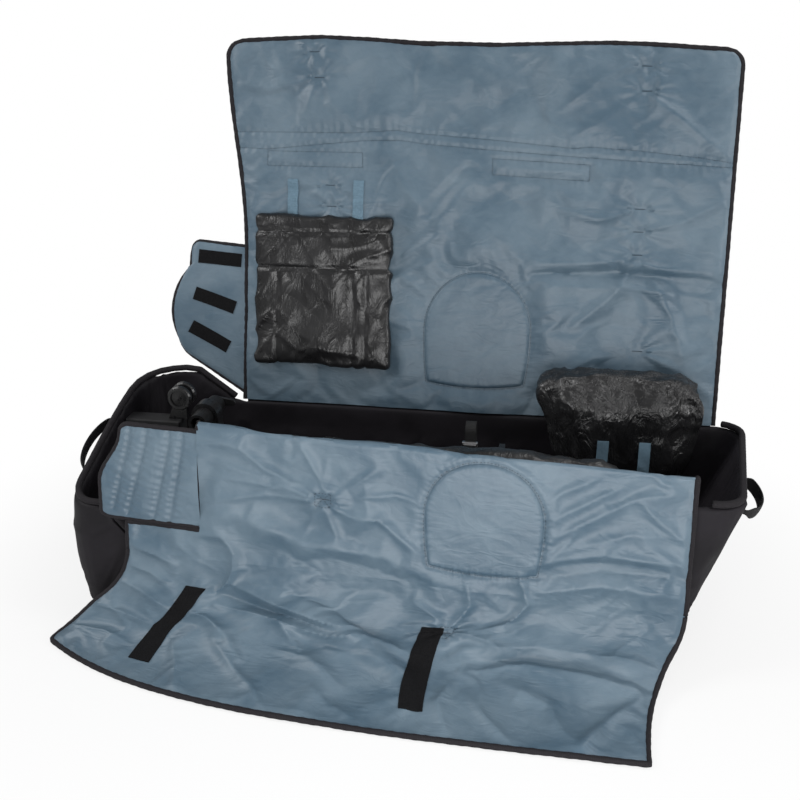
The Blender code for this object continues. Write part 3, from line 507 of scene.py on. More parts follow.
@dataclass(frozen=True)
class Nylon:
    """Thin woven nylon with a soft sheen, a fine weave and small crinkles."""

    name: str
    light: Colour
    dark: Colour
    roughness: float
    crinkle: float
    weave: float = 0.00004
    pitch: float = 0.0009
    follows: Coordinates = Coordinates.OBJECT
    shine: float = 0.5

    def material(self) -> bpy.types.Material:
        """Make the material.

        Returns:
            The material, with its colour, sheen, weave and crinkles from nodes.
        """
        g = Graph(self.name)
        place = g.cloth() if self.follows is Coordinates.CLOTH else g.place()
        cloud = g.noise(place, 5.5, 4.0, 0.55, 0.6)
        fine = g.noise(g.scaled(place, (1.0, 1.5, 1.0), 38), 30.0, 3.0, 0.5, 1.0)
        share = g.ramp(cloud * 0.8 + fine * 0.2, (0.38, 0.0), (0.62, 1.0))
        cells = g.node("ShaderNodeTexVoronoi", {"feature": "DISTANCE_TO_EDGE"},
                       {"Vector": g.scaled(place, (1.0, 0.45, 1.0), -32), "Scale": 46.0, "Randomness": 1.0})
        edge = g.ramp(cells, (0.0, 1.0), (0.16, 0.0))
        ridges = g.noise(g.scaled(place, (1.0, 2.4, 1.0), -38), 12.0, 2.0, 0.45, 1.6)
        folds = (ridges - 0.5).of("ABSOLUTE") * -2.0 + 1.0
        warp = (g.axis(place, "X") * (2 * math.pi / self.pitch)).of("SINE")
        weft = (g.axis(place, "Y") * (2 * math.pi / self.pitch)).of("SINE")
        if self.follows is Coordinates.OBJECT:
            weft = (g.axis(place, "Z") * (2 * math.pi / self.pitch)).of("SINE")
        thread = g.bump(warp * weft * 0.5 + 0.5, self.weave, 0.5)
        normal = g.bump(folds * 0.8 + fine * 0.25 + edge * 0.06, self.crinkle, 1.0, thread)
        return g.dress(Base_Color=g.colours(self.dark, self.light, share),
                       Roughness=share * 0.10 + (self.roughness - 0.05), Specular_IOR_Level=self.shine,
                       Normal=normal)


@dataclass(frozen=True)
class Crumpled:
    """Coated cloth that is crushed into sharp creases and shines on them."""

    name: str
    light: Colour
    dark: Colour
    roughness: float
    crease: float
    scale: float = 26.0

    def material(self) -> bpy.types.Material:
        """Make the material.

        Returns:
            The material.
        """
        g = Graph(self.name)
        place = g.place()
        bent = g.noise(place, self.scale * 0.5, 3.0, 0.5, 0.4)
        cells = g.node("ShaderNodeTexVoronoi", {"feature": "F1"},
                       {"Vector": place, "Scale": self.scale, "Randomness": 1.0, "Detail": 1.0})
        folds = g.noise(g.scaled(place, (1.0, 1.0, 0.45)), self.scale * 0.9, 4.0, 0.6, 2.6)
        thread = g.bump(g.noise(place, 1500.0, 1.0), 0.00005, 0.4)
        normal = g.bump(cells * 0.35 + (folds - 0.5).of("ABSOLUTE") * 1.6 + bent * 0.4, self.crease, 1.0, thread)
        share = g.ramp(bent * 0.5 + folds * 0.5, (0.35, 0.0), (0.65, 1.0))
        return g.dress(Base_Color=g.colours(self.dark, self.light, share),
                       Roughness=share * 0.16 + (self.roughness - 0.08), Specular_IOR_Level=0.5, Normal=normal)


@dataclass(frozen=True)
class Webbing:
    """Woven tape with ribs across it."""

    name: str
    light: Colour
    dark: Colour
    pitch: float = 0.0022
    roughness: float = 0.72

    def material(self) -> bpy.types.Material:
        """Make the material, whose ribs follow the piece's own map.

        Returns:
            The material.
        """
        g = Graph(self.name)
        place = g.cloth()
        along = (g.axis(place, "Y") * (2 * math.pi / self.pitch)).of("SINE")
        across = (g.axis(place, "X") * (2 * math.pi / 0.0016)).of("SINE")
        rib = along * 0.35 + across * 0.15 + 0.5
        wear = g.noise(place, 160.0, 4.0, 0.6)
        # The colour is lighter on the ribs' crests and darker in their grooves: painted shade in the grooves, mixed
        # with random wear.
        share = g.ramp(rib * 0.5 + wear * 0.5, (0.3, 0.0), (0.72, 1.0))
        return g.dress(Base_Color=g.colours(self.dark, self.light, share), Specular_IOR_Level=0.3,
                       Roughness=wear * 0.2 + (self.roughness - 0.1), Normal=g.bump(rib, 0.0004, 0.8))


@dataclass(frozen=True)
class Pile:
    """Matte hook or loop tape."""

    name: str
    light: Colour = (0.0085, 0.0085, 0.0095)
    dark: Colour = (0.0035, 0.0035, 0.004)

    def material(self) -> bpy.types.Material:
        """Make the material.

        Returns:
            The material.
        """
        g = Graph(self.name)
        place = g.place()
        hooks = g.node("ShaderNodeTexVoronoi", {"feature": "F1"}, {"Vector": place, "Scale": 620.0})
        tufts = g.noise(place, 240.0, 3.0, 0.6)
        # The colour is lighter on the raised hooks and tufts and darker in the hollows between them: painted shade in
        # the hollows.
        share = g.ramp(hooks * 0.6 + tufts * 0.4, (0.2, 1.0), (0.7, 0.0))
        return g.dress(Base_Color=g.colours(self.dark, self.light, share), Specular_IOR_Level=0.15,
                       Roughness=tufts * 0.1 + 0.88, Normal=g.bump(share, 0.0006, 0.9))


@dataclass(frozen=True)
class Solid:
    """Moulded, cast or turned material with a fine grain and light wear."""

    name: str
    light: Colour
    dark: Colour
    roughness: float
    metallic: float = 0.0
    grain: float = 900.0
    height: float = 0.00006

    def material(self) -> bpy.types.Material:
        """Make the material.

        Returns:
            The material.
        """
        g = Graph(self.name)
        place = g.place()
        grain = g.noise(place, self.grain, 2.0, 0.6)
        wear = g.noise(place, 38.0, 5.0, 0.65, 0.5)
        share = g.ramp(wear, (0.35, 0.0), (0.68, 1.0))
        return g.dress(Base_Color=g.colours(self.dark, self.light, share), Metallic=self.metallic,
                       Roughness=wear * 0.3 + (self.roughness - 0.15), Normal=g.bump(grain, self.height, 0.6))


class Finish(Enum):
    """The finishes of the case, with the record's material slot of each."""

    LINING = (Nylon("lining_nylon", (0.113, 0.164, 0.207), (0.064, 0.108, 0.149), 0.46, 0.0013, 0.00004,
                    0.0010, Coordinates.CLOTH), "lining")
    SHELL = (Nylon("shell_nylon", (0.014, 0.0122, 0.0155), (0.0075, 0.0065, 0.0085), 0.66, 0.0004, 0.00012,
                   0.0016, shine=0.22), "shell")
    SHELL_BACK = (Nylon("shell_of_flaps", (0.014, 0.0122, 0.0155), (0.0075, 0.0065, 0.0085), 0.66, 0.0005,
                        0.00012, 0.0016, Coordinates.CLOTH, 0.22), "shell")
    BINDING = (Webbing("binding_tape", (0.014, 0.012, 0.015), (0.006, 0.005, 0.0065), 0.0030, 0.78), "webbing")
    TAPE = (Webbing("black_webbing", (0.016, 0.016, 0.017), (0.006, 0.006, 0.0065)), "webbing")
    BLUE_TAPE = (Webbing("blue_webbing", (0.155, 0.245, 0.315), (0.085, 0.145, 0.195)), "blue_web")
    THREAD = (Webbing("thread", (0.05, 0.07, 0.09), (0.03, 0.04, 0.055)), "webbing")
    HOOK = (Pile("hook_pile"), "hook")
    BAG = (Crumpled("bag_cloth", (0.017, 0.017, 0.018), (0.007, 0.007, 0.0075), 0.32, 0.0035, 15.0), "glossy")
    QUILT = (Crumpled("quilted_cover", (0.014, 0.014, 0.015), (0.006, 0.006, 0.0065), 0.32, 0.0020, 22.0),
             "glossy")
    POUCH = (Crumpled("pouch_cloth", (0.018, 0.018, 0.019), (0.006, 0.006, 0.0065), 0.25, 0.0060, 22.0), "glossy")
    PLASTIC = (Solid("moulded_plastic", (0.024, 0.024, 0.026), (0.013, 0.013, 0.014), 0.50), "plastic")
    GLOSS_PLASTIC = (Solid("polished_plastic", (0.014, 0.014, 0.015), (0.009, 0.009, 0.010), 0.30), "plastic")
    ALLOY = (Solid("anodised_alloy", (0.42, 0.42, 0.43), (0.32, 0.32, 0.33), 0.42, 1.0, 1400.0), "alloy")
    BLACK_ALLOY = (Solid("black_alloy", (0.030, 0.030, 0.032), (0.018, 0.018, 0.019), 0.42, 0.6, 1400.0), "alloy")
    STEEL = (Solid("plated_steel", (0.56, 0.56, 0.57), (0.44, 0.44, 0.45), 0.30, 1.0, 1800.0), "steel")
    RUBBER = (Solid("tyre_rubber", (0.017, 0.017, 0.018), (0.010, 0.010, 0.011), 0.74, 0.0, 600.0, 0.00012),
              "rubber")

    @property
    def slot(self) -> str:
        """The record's material slot."""
        return self.value[1]


TWO_FACES = (Finish.LINING, Finish.SHELL_BACK)


class Wardrobe:
    """Makes each finish once and hands it out."""

    def __init__(self) -> None:
        """Start with no finish made."""
        self.made: dict[Finish, bpy.types.Material] = {}

    def get(self, finish: Finish) -> bpy.types.Material:
        """The material of a finish.

        Args:
            finish: the finish.

        Returns:
            Its material, made on first use.
        """
        if finish not in self.made:
            self.made[finish] = finish.value[0].material()
        return self.made[finish]


@dataclass
class Shop:
    """What every sub-assembly needs: the frame, the wardrobe and a way to hand pieces over."""

    frame: dict
    wardrobe: Wardrobe = field(default_factory=Wardrobe)

    def link(self, name: str, mesh: bpy.types.Mesh, *finishes: Finish) -> bpy.types.Object:
        """Make a mesh a piece of the scene with its finishes.

        Args:
            name: the piece's name.
            mesh: its mesh, in the row's frame.
            finishes: its finishes, in the order of its faces' material numbers.

        Returns:
            The piece.
        """
        item = bpy.data.objects.new(name, mesh)
        bpy.context.scene.collection.objects.link(item)
        for finish in finishes:
            mesh.materials.append(self.wardrobe.get(finish))
        return item

    def pad(self, name: str, mesh: bpy.types.Mesh, fill: float, *finishes: Finish) -> bpy.types.Object:
        """Make the mesh of a padded piece a piece of the scene with its finishes, as link does.

        Args:
            name: the piece's name.
            mesh: its mesh, in the row's frame.
            fill: not used.
            finishes: its finishes, in the order of its faces' material numbers.

        Returns:
            The piece.
        """
        item = self.link(name, mesh, *finishes)
        return item

    def tape(self, name: str, path: Array, radius: float) -> bpy.types.Object:
        """Make the tape that binds an edge along a path of places."""
        return self.link(name, tape_tube(name, path, radius), Finish.BINDING)

    def seat(self, item: bpy.types.Object, body: str, *nodes: str) -> bpy.types.Object:
        """Let a piece ride on a body and stand for CAD nodes, and log it.

        Args:
            item: the piece.
            body: the body that it rides on.
            nodes: the nodes that it replaces.

        Returns:
            The piece.
        """
        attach(item, body)
        if nodes:
            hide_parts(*nodes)
        log.info("%s: %d faces, rides on %s, stands for %s", item.name, len(item.data.polygons), body,
                 ", ".join(nodes) or "itself")
        return item

    def bend(self, item: bpy.types.Object, first: str, second: str, start: Sequence[float],
             end: Sequence[float], *nodes: str) -> bpy.types.Object:
        """Fix a piece where it lies, let it stand for CAD nodes, and log it with the two bodies on either side of its
        fold.

        Args:
            item: the piece.
            first: the body before the bend.
            second: the body after it.
            start: not used.
            end: not used.
            nodes: the nodes that the piece replaces.

        Returns:
            The piece.
        """
        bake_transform(item)
        if nodes:
            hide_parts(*nodes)
        log.info("%s: %d faces, bends from %s to %s, stands for %s", item.name, len(item.data.polygons), first,
                 second, ", ".join(nodes) or "itself")
        return item


# Cloth simulation
@dataclass(frozen=True)
class ClothRun:
    """A short run of Blender's cloth on a piece, with its result kept in the mesh."""

    pressure: float = 4.0
    grow: float = 0.02
    frames: int = 16
    cap: float = 0.008
    stiff: float = 15.0
    bending: float = 2.0
    mass: float = 0.3

    def press(self, mesh: bpy.types.Mesh, held: Array | None = None) -> Array:
        """Swell and buckle a mesh.

        Args:
            mesh: the mesh, which is changed.
            held: how firmly each of its points is held, from 0 to 1.

        Returns:
            The new places of its points.
        """
        rest = read_points(mesh)
        scene = bpy.context.scene
        item = bpy.data.objects.new("cloth_run", mesh)
        scene.collection.objects.link(item)
        modifier = item.modifiers.new("cloth", "CLOTH")
        settings = modifier.settings
        settings.quality = 5
        settings.mass = self.mass
        settings.tension_stiffness = self.stiff
        settings.compression_stiffness = self.stiff
        settings.shear_stiffness = self.stiff * 0.4
        settings.bending_stiffness = self.bending
        settings.use_pressure = True
        settings.uniform_pressure_force = self.pressure
        settings.shrink_min = -self.grow
        settings.effector_weights.gravity = 0.0
        modifier.collision_settings.use_collision = False
        modifier.point_cache.frame_start = 1
        modifier.point_cache.frame_end = self.frames + 1
        if held is not None:
            group = item.vertex_groups.new(name="held")
            for level in (0.25, 0.5, 0.75, 1.0):
                chosen = np.nonzero((held > level - 0.25) & (held <= level))[0]
                group.add([int(number) for number in chosen], level, "REPLACE")
            settings.vertex_group_mass = "held"
        for number in range(1, self.frames + 1):
            scene.frame_set(number)
        shaped = item.evaluated_get(bpy.context.evaluated_depsgraph_get())
        moved = read_points(shaped.data) - rest
        far = np.linalg.norm(moved, axis=1, keepdims=True)
        moved *= np.minimum(1.0, self.cap / np.maximum(far, 1e-9))
        item.modifiers.remove(modifier)
        bpy.data.objects.remove(item, do_unlink=True)
        scene.frame_set(1)
        write_points(mesh, rest + moved)
        return rest + moved


def read_points(mesh: bpy.types.Mesh) -> Array:
    """The places of a mesh's points, as rows of three."""
    places = np.empty(len(mesh.vertices) * 3)
    mesh.vertices.foreach_get("co", places)
    return places.reshape(-1, 3)


def write_points(mesh: bpy.types.Mesh, places: Array) -> None:
    """Put a mesh's points at new places."""
    mesh.vertices.foreach_set("co", np.ascontiguousarray(places, dtype=np.float64).ravel())
    mesh.update()


def read_normals(mesh: bpy.types.Mesh) -> Array:
    """The normals of a mesh's points, as rows of three."""
    normals = np.empty(len(mesh.vertices) * 3)
    mesh.vertex_normals.foreach_get("vector", normals)
    return normals.reshape(-1, 3)


def map_cloth(mesh: bpy.types.Mesh, places: Array) -> None:
    """Give a mesh its own map from a pair of metres for each point."""
    corners = np.empty(len(mesh.loops), dtype=np.int32)
    mesh.loops.foreach_get("vertex_index", corners)
    layer = mesh.uv_layers.get("cloth") or mesh.uv_layers.new(name="cloth")
    layer.data.foreach_set("uv", np.ascontiguousarray(places[corners], dtype=np.float32).ravel())


# Cloth panels
Surface = Callable[[Array, Array], Array]


def layers(columns: int, rows: int, depth: float,
           missing: Callable[[float, float], bool] | None = None) -> bmesh.types.BMesh:
    """Two flat grids of size 1, one below the other, joined round their edges.

    Args:
        columns: how many faces a grid has across.
        rows: how many it has along.
        depth: how far the second lies below the first.
        missing: tells from the shares of a face's middle whether it is left out.

    Returns:
        The closed mesh.
    """
    bm = bmesh.new()
    bmesh.ops.create_grid(bm, x_segments=columns, y_segments=rows, size=0.5)
    if missing is not None:
        middles = [(face, face.calc_center_median()) for face in bm.faces]
        gone = [face for face, middle in middles if missing(middle.x + 0.5, middle.y + 0.5)]
        bmesh.ops.delete(bm, geom=gone, context="FACES")
    copy = bmesh.ops.duplicate(bm, geom=[*bm.verts, *bm.edges, *bm.faces])["geom"]
    bmesh.ops.translate(bm, vec=(0, 0, -depth), verts=[g for g in copy if isinstance(g, bmesh.types.BMVert)])
    bmesh.ops.bridge_loops(bm, edges=[edge for edge in bm.edges if edge.is_boundary])
    return bm


@dataclass
class Panel:
    """A padded panel of two faces over a grid: the lining is on one, the shell on the other."""

    name: str
    columns: int
    rows: int
    middle: Surface
    metres: Callable[[Array, Array], tuple[Array, Array]]
    toward: tuple[float, float, float]
    lining: Relief
    shell: Relief = field(default_factory=lambda: Relief(seed=9, billow=0.0010, wrinkle=0.0005))
    half: float = 0.0045
    edge: float = 0.0022
    edge_run: float = 0.016
    free: tuple[str, ...] = ("left", "right", "low", "high")
    missing: Callable[[float, float], bool] | None = None
    run: ClothRun | None = None
    hold: float = 0.006
    calm_run: float = 0.014
    least: float = 0.0008
    follow: float = 0.55

    def grids(self) -> tuple[Array, Array]:
        """The grid's shares across and along, as arrays of rows and columns."""
        return np.meshgrid(np.linspace(0, 1, self.columns + 1), np.linspace(0, 1, self.rows + 1))

    def normals(self, u: Array, v: Array) -> Array:
        """The middle surface's normals on the lining's side.

        Args:
            u: shares across.
            v: shares along.

        Returns:
            Unit vectors.
        """
        small = 0.002
        across = self.middle(np.minimum(u + small, 1), v) - self.middle(np.maximum(u - small, 0), v)
        along = self.middle(u, np.minimum(v + small, 1)) - self.middle(u, np.maximum(v - small, 0))
        normal = unit(np.cross(across, along))
        side = np.sum(normal[normal.shape[0] // 2, normal.shape[1] // 2] * np.array(self.toward))
        return normal if side > 0 else -normal

    def inset(self, x: Array, y: Array) -> Array:
        """How far each place is from the panel's free edges, in metres.

        Args:
            x: places across, in metres.
            y: places along, in metres.

        Returns:
            The distance.
        """
        gaps = {"left": x - x[:, :1], "right": x - x[:, -1:], "low": y - y[:1], "high": y - y[-1:]}
        away = np.full(np.shape(x), 1.0)
        for name in self.free:
            away = np.minimum(away, np.abs(gaps[name]))
        return away

    def shape(self) -> None:
        """Work out where both faces lie, with the cloth run on the lining."""
        u, v = self.grids()
        x, y = self.metres(u, v)
        self.x, self.y = x, y
        middle = self.middle(u, v)
        normal = self.normals(u, v)
        away = self.inset(x, y)
        full = mix(self.edge, self.half, np.sqrt(step(away / self.edge_run)))
        calm = (0.20 + 0.80 * step(away / self.calm_run))[..., None]
        raised = self.lining.lift(x, y)[..., None] * calm
        floor = self.least - full[..., None]
        self.top = middle + normal * (full[..., None] + np.maximum(raised, floor))
        shift = np.clip(raised, 0.0, None) * self.follow
        lowered = self.shell.lift(x, y)[..., None] * calm
        self.bottom = middle - normal * (full[..., None] + lowered - shift)
        self.normal = normal
        if self.run is not None:
            self.relax(away)

    def relax(self, away: Array) -> None:
        """Let the lining swell and buckle between its seams.

        Args:
            away: each place's distance from the free edges.
        """
        bm = bmesh.new()
        bmesh.ops.create_grid(bm, x_segments=self.columns, y_segments=self.rows, size=0.5)
        mesh = bpy.data.meshes.new(self.name + "_run")
        bm.to_mesh(mesh)
        bm.free()
        row, column = self.cells(read_points(mesh))
        write_points(mesh, self.top[row, column])
        held = 1.0 - step((away - 0.002) / self.hold)
        for seam in self.lining.seams:
            near, _, _ = line_distance(seam.points, self.x, self.y)
            held = np.maximum(held, 1.0 - step((near - 0.002) / self.hold))
        for tack in self.lining.tacks:
            near = np.hypot(self.x - tack.x, (self.y - tack.y) * 1.4)
            held = np.maximum(held, 1.0 - step((near - tack.half) / self.hold))
        held[0], held[-1] = 1.0, 1.0
        if self.lining.flat is not None:
            reach = self.lining.flat[2]
            far = self.lining.from_flat(self.x, self.y)
            held = np.maximum(held, 1.0 - step((far - reach * 0.9) / (reach * 0.1)))
        places = self.run.press(mesh, held[row, column])
        top = np.empty_like(self.top)
        top[row, column] = places
        moved = top - self.top
        for _ in range(2):
            inner = (moved[:-2, 1:-1] + moved[2:, 1:-1] + moved[1:-1, :-2] + moved[1:-1, 2:]) / 4
            moved[1:-1, 1:-1] = 0.5 * moved[1:-1, 1:-1] + 0.5 * inner
        self.top = self.top + moved
        bpy.data.meshes.remove(mesh)

    def cells(self, flat: Array) -> tuple[Array, Array]:
        """The row and column of each point of a fresh grid of size 1."""
        column = np.rint((flat[:, 0] + 0.5) * self.columns).astype(int)
        row = np.rint((flat[:, 1] + 0.5) * self.rows).astype(int)
        return row, column

    def build(self) -> bpy.types.Mesh:
        """Make the panel's closed mesh, with the lining's faces first among its materials.

        Returns:
            The mesh.
        """
        self.shape()
        depth = 0.25
        bm = layers(self.columns, self.rows, depth, self.missing)
        mesh = bpy.data.meshes.new(self.name)
        bm.to_mesh(mesh)
        flat = read_points(mesh)
        row, column = self.cells(flat)
        upper = flat[:, 2] > -depth / 2
        places = np.where(upper[:, None], self.top[row, column], self.bottom[row, column])
        bm.verts.ensure_lookup_table()
        for face in bm.faces:
            face.material_index = 0 if all(vertex.co.z > -depth / 2 for vertex in face.verts) else 1
        for vertex, place in zip(bm.verts, places):
            vertex.co = place
        bmesh.ops.recalc_face_normals(bm, faces=bm.faces)
        bm.to_mesh(mesh)
        mesh.shade_smooth()
        rim = [edge.is_manifold and edge.calc_face_angle(0) > 0.9 for edge in bm.edges]
        bm.free()
        sharp = mesh.attributes.new("sharp_edge", "BOOLEAN", "EDGE")
        sharp.data.foreach_set("value", rim)
        map_cloth(mesh, np.stack([self.x[row, column], self.y[row, column]], axis=1))
        return mesh

    def sample(self, u: Array, v: Array, lift: Array | float = 0.0) -> Array:
        """Places on the finished lining.

        Args:
            u: shares across.
            v: shares along.
            lift: how far off the lining they are.

        Returns:
            The places.
        """
        column = np.clip(u * self.columns, 0, self.columns - 1e-6)
        row = np.clip(v * self.rows, 0, self.rows - 1e-6)
        i, j = column.astype(int), row.astype(int)
        fx, fy = (column - i)[..., None], (row - j)[..., None]

        def read(grid: Array) -> Array:
            low = grid[j, i] * (1 - fx) + grid[j, i + 1] * fx
            high = grid[j + 1, i] * (1 - fx) + grid[j + 1, i + 1] * fx
            return low * (1 - fy) + high * fy

        lifted = np.asarray(lift)
        return read(self.top) + unit(read(self.normal)) * (lifted[..., None] if lifted.ndim else lifted)

    def rim(self, *stretches: tuple[str, int, int]) -> Array:
        """Places along the panel's edges, halfway between its faces.

        Args:
            stretches: an edge's name and the grid numbers where the stretch starts and ends.

        Returns:
            The places in order.
        """
        middle = (self.top + self.bottom) / 2
        parts = []
        for name, start, end in stretches:
            numbers = np.arange(start, end + 1) if end >= start else np.arange(start, end - 1, -1)
            kind, _, at = name.partition(":")
            place = {"left": 0, "right": self.columns, "low": 0, "high": self.rows}.get(kind)
            place = int(at) if at else place
            parts.append(middle[numbers, place] if kind in ("left", "right", "column") else middle[place, numbers])
        return np.concatenate(parts)


def tape_tube(name: str, points: Array, radius: float, sides: int = 10) -> bpy.types.Mesh:
    """A tape folded over an edge: a tube through points, with its own map.

    Args:
        name: the mesh's name.
        points: the places that it goes through.
        radius: its radius.
        sides: how many sides it has.

    Returns:
        The mesh.
    """
    keep = [0]
    for number in range(1, len(points)):
        if np.linalg.norm(points[number] - points[keep[-1]]) > radius * 0.8:
            keep.append(number)
    points = points[keep]
    bm = bmesh.new()
    gone = np.concatenate([[0.0], np.cumsum(np.linalg.norm(np.diff(points, axis=0), axis=1))])
    rings: list[list[bmesh.types.BMVert]] = []
    facing = None
    for number, place in enumerate(points):
        ahead = points[min(number + 1, len(points) - 1)] - points[max(number - 1, 0)]
        quaternion = Vector(ahead).to_track_quat("Z", "Y")
        if facing is None:
            facing = quaternion @ Vector((1, 0, 0))
        axis = Vector(ahead).normalized()
        facing = (facing - axis * facing.dot(axis)).normalized()
        side = axis.cross(facing)
        turn = Matrix((facing, side, axis)).transposed().to_4x4()
        swell = 1.0 + 0.05 * math.sin(310 * gone[number]) + 0.04 * math.sin(97 * gone[number] + 1)
        circle = bmesh.ops.create_circle(bm, cap_ends=False, segments=sides, radius=radius * swell,
                                         matrix=Matrix.Translation(Vector(place)) @ turn)
        rings.append(circle["verts"])
    for first, second in zip(rings, rings[1:]):
        edges = ring_edges(first) + ring_edges(second)
        bmesh.ops.bridge_loops(bm, edges=edges)
    for ring in (rings[0], rings[-1]):
        bmesh.ops.contextual_create(bm, geom=ring_edges(ring))
    bmesh.ops.recalc_face_normals(bm, faces=bm.faces)
    mesh = bpy.data.meshes.new(name)
    bm.to_mesh(mesh)
    bm.free()
    near = np.array([[(index % sides) * 2 * math.pi * radius / sides, gone[index // sides]]
                     for index in range(len(mesh.vertices))])
    map_cloth(mesh, near)
    mesh.shade_smooth()
    return mesh


def ring_edges(ring: list[bmesh.types.BMVert]) -> list[bmesh.types.BMEdge]:
    """The edges that join a ring's points to each other."""
    members = set(ring)
    edges = {edge for vertex in ring for edge in vertex.link_edges if edge.other_vert(vertex) in members}
    return sorted(edges, key=lambda edge: min(v.index for v in edge.verts))


def soft_copy(shop: Shop, nodes: Sequence[str], voxel: float, smoothing: int = 2,
              swell: float = 0.0) -> bpy.types.Mesh:
    """The shape of CAD nodes as one even skin.

    Args:
        shop: the shop that holds the frame.
        nodes: the nodes' names.
        voxel: the size of the new faces.
        smoothing: how often the skin is smoothed.
        swell: how far the skin is moved outwards after that.

    Returns:
        The new mesh.
    """
    bm = bmesh.new()
    for node in nodes:
        source = shop.frame["nodes"][node]
        single = bmesh.new()
        single.from_mesh(source.data)
        single.transform(source.matrix_world)
        bmesh.ops.remove_doubles(single, verts=single.verts, dist=0.00002)
        part = bpy.data.meshes.new(node + "_part")
        single.to_mesh(part)
        single.free()
        bm.from_mesh(part)
        bpy.data.meshes.remove(part)
    rough = bpy.data.meshes.new(nodes[0] + "_copy")
    bm.to_mesh(rough)
    bm.free()
    item = bpy.data.objects.new(nodes[0] + "_copy", rough)
    bpy.context.scene.collection.objects.link(item)
    remesh = item.modifiers.new("skin", "REMESH")
    remesh.mode = "VOXEL"
    remesh.voxel_size = voxel
    remesh.use_smooth_shade = True
    evaluated = item.evaluated_get(bpy.context.evaluated_depsgraph_get())
    mesh = bpy.data.meshes.new_from_object(evaluated)
    bpy.data.objects.remove(item, do_unlink=True)
    bm = bmesh.new()
    bm.from_mesh(mesh)
    for _ in range(smoothing):
        bmesh.ops.smooth_vert(bm, verts=bm.verts, factor=0.5, use_axis_x=True, use_axis_y=True, use_axis_z=True)
    bm.to_mesh(mesh)
    bm.free()
    if swell:
        write_points(mesh, read_points(mesh) + read_normals(mesh) * swell)
    mesh.shade_smooth()
    return mesh


# Flaps
@dataclass(frozen=True)
class RearPlane:
    """Where the rear flap stands, and its outline as X and the distance up from its hinge."""

    hinge: tuple[float, float, float] = (0.0, 0.206, 0.3348)
    lean: float = math.radians(12)
    left: float = -0.385
    left_top: float = -0.430
    right: float = 0.670
    low: float = -0.0045
    fold: float = 0.590
    high: float = 0.790
    corner: float = 0.034
    slump_depth: float = 0.006

    def point(self, x: Array, s: Array, out: Array | float = 0.0) -> Array:
        """Places on the flap.

        Args:
            x: places across.
            s: places up from the hinge.
            out: how far out from the flap's middle.

        Returns:
            The places.
        """
        up = np.array([0.0, math.sin(self.lean), math.cos(self.lean)])
        away = np.array([0.0, math.cos(self.lean), -math.sin(self.lean)])
        x, s, out = np.broadcast_arrays(x, s, out)
        across = np.stack([x, np.zeros_like(x), np.zeros_like(x)], axis=-1)
        return np.array(self.hinge) + across + s[..., None] * up + out[..., None] * away

    def edges(self, s: Array) -> tuple[Array, Array]:
        """The flap's left and right edges at a height, without its corners.

        Args:
            s: the heights.

        Returns:
            The left and right X.
        """
        rise = step((s - self.fold * 0.6) / (self.high - self.fold + self.fold * 0.4))
        return mix(self.left, self.left_top, rise), np.full(np.shape(s), self.right)

    def cut(self, s: Array) -> tuple[Array, Array]:
        """The left and right edges with the upper corners rounded."""
        left, right = self.edges(s)
        up = np.clip(s - (self.high - self.corner), 0, self.corner)
        inset = self.corner - np.sqrt(np.maximum(self.corner ** 2 - up ** 2, 0.0))
        return left + inset, right - inset

    def slump(self, x: Array, s: Array) -> Array:
        """How far the side panel bellies out."""
        left, right = self.edges(s)
        across = np.sin(np.pi * np.clip((x - left) / (right - left), 0, 1))
        along = np.sin(np.pi * np.clip(s / self.fold, 0, 1))
        return self.slump_depth * across * along * np.sin(5 * x + 7 * s) ** 2


def arch(u: Array, v: Array) -> tuple[Array, Array]:
    """A square from -1 to 1 drawn in to a round top and a broad foot.

    Args:
        u: places across the square.
        v: places up the square.

    Returns:
        The drawn-in places.
    """
    share = np.where(v > 0, 0.5, 0.16)
    return u * np.sqrt(1 - share * v * v), v * np.sqrt(1 - share * u * u)


def arch_line(middle: tuple[float, float], width: float, height: float, up: float) -> Line:
    """The outline of an arch as a closed line.

    Args:
        middle: the arch's middle.
        width: its width.
        height: its height.
        up: 1 where the second coordinate grows upwards, and -1 where it grows down.

    Returns:
        The line.
    """
    ends = np.linspace(-1, 1, 9)
    sides = [(e, -1.0) for e in ends] + [(1.0, e) for e in ends[1:]]
    sides += [(-e, 1.0) for e in ends[1:]] + [(-1.0, -e) for e in ends[1:]]
    line = []
    for u, v in sides:
        a, b = arch(np.array(u), np.array(v))
        line.append((middle[0] + float(a) * width / 2, middle[1] + up * float(b) * height / 2))
    return tuple(line)


def box_line(left: float, right: float, low: float, high: float, slope: float = 0.0) -> Line:
    """The outline of a stitched rectangle, its right end raised by slope."""
    return ((left, low), (right, low + slope), (right, high + slope), (left, high), (left, low))


REAR_PATCH = ((0.147, 0.178), 0.240, 0.262)
FRONT_PATCH = ((0.207, 0.118), 0.228, 0.226)

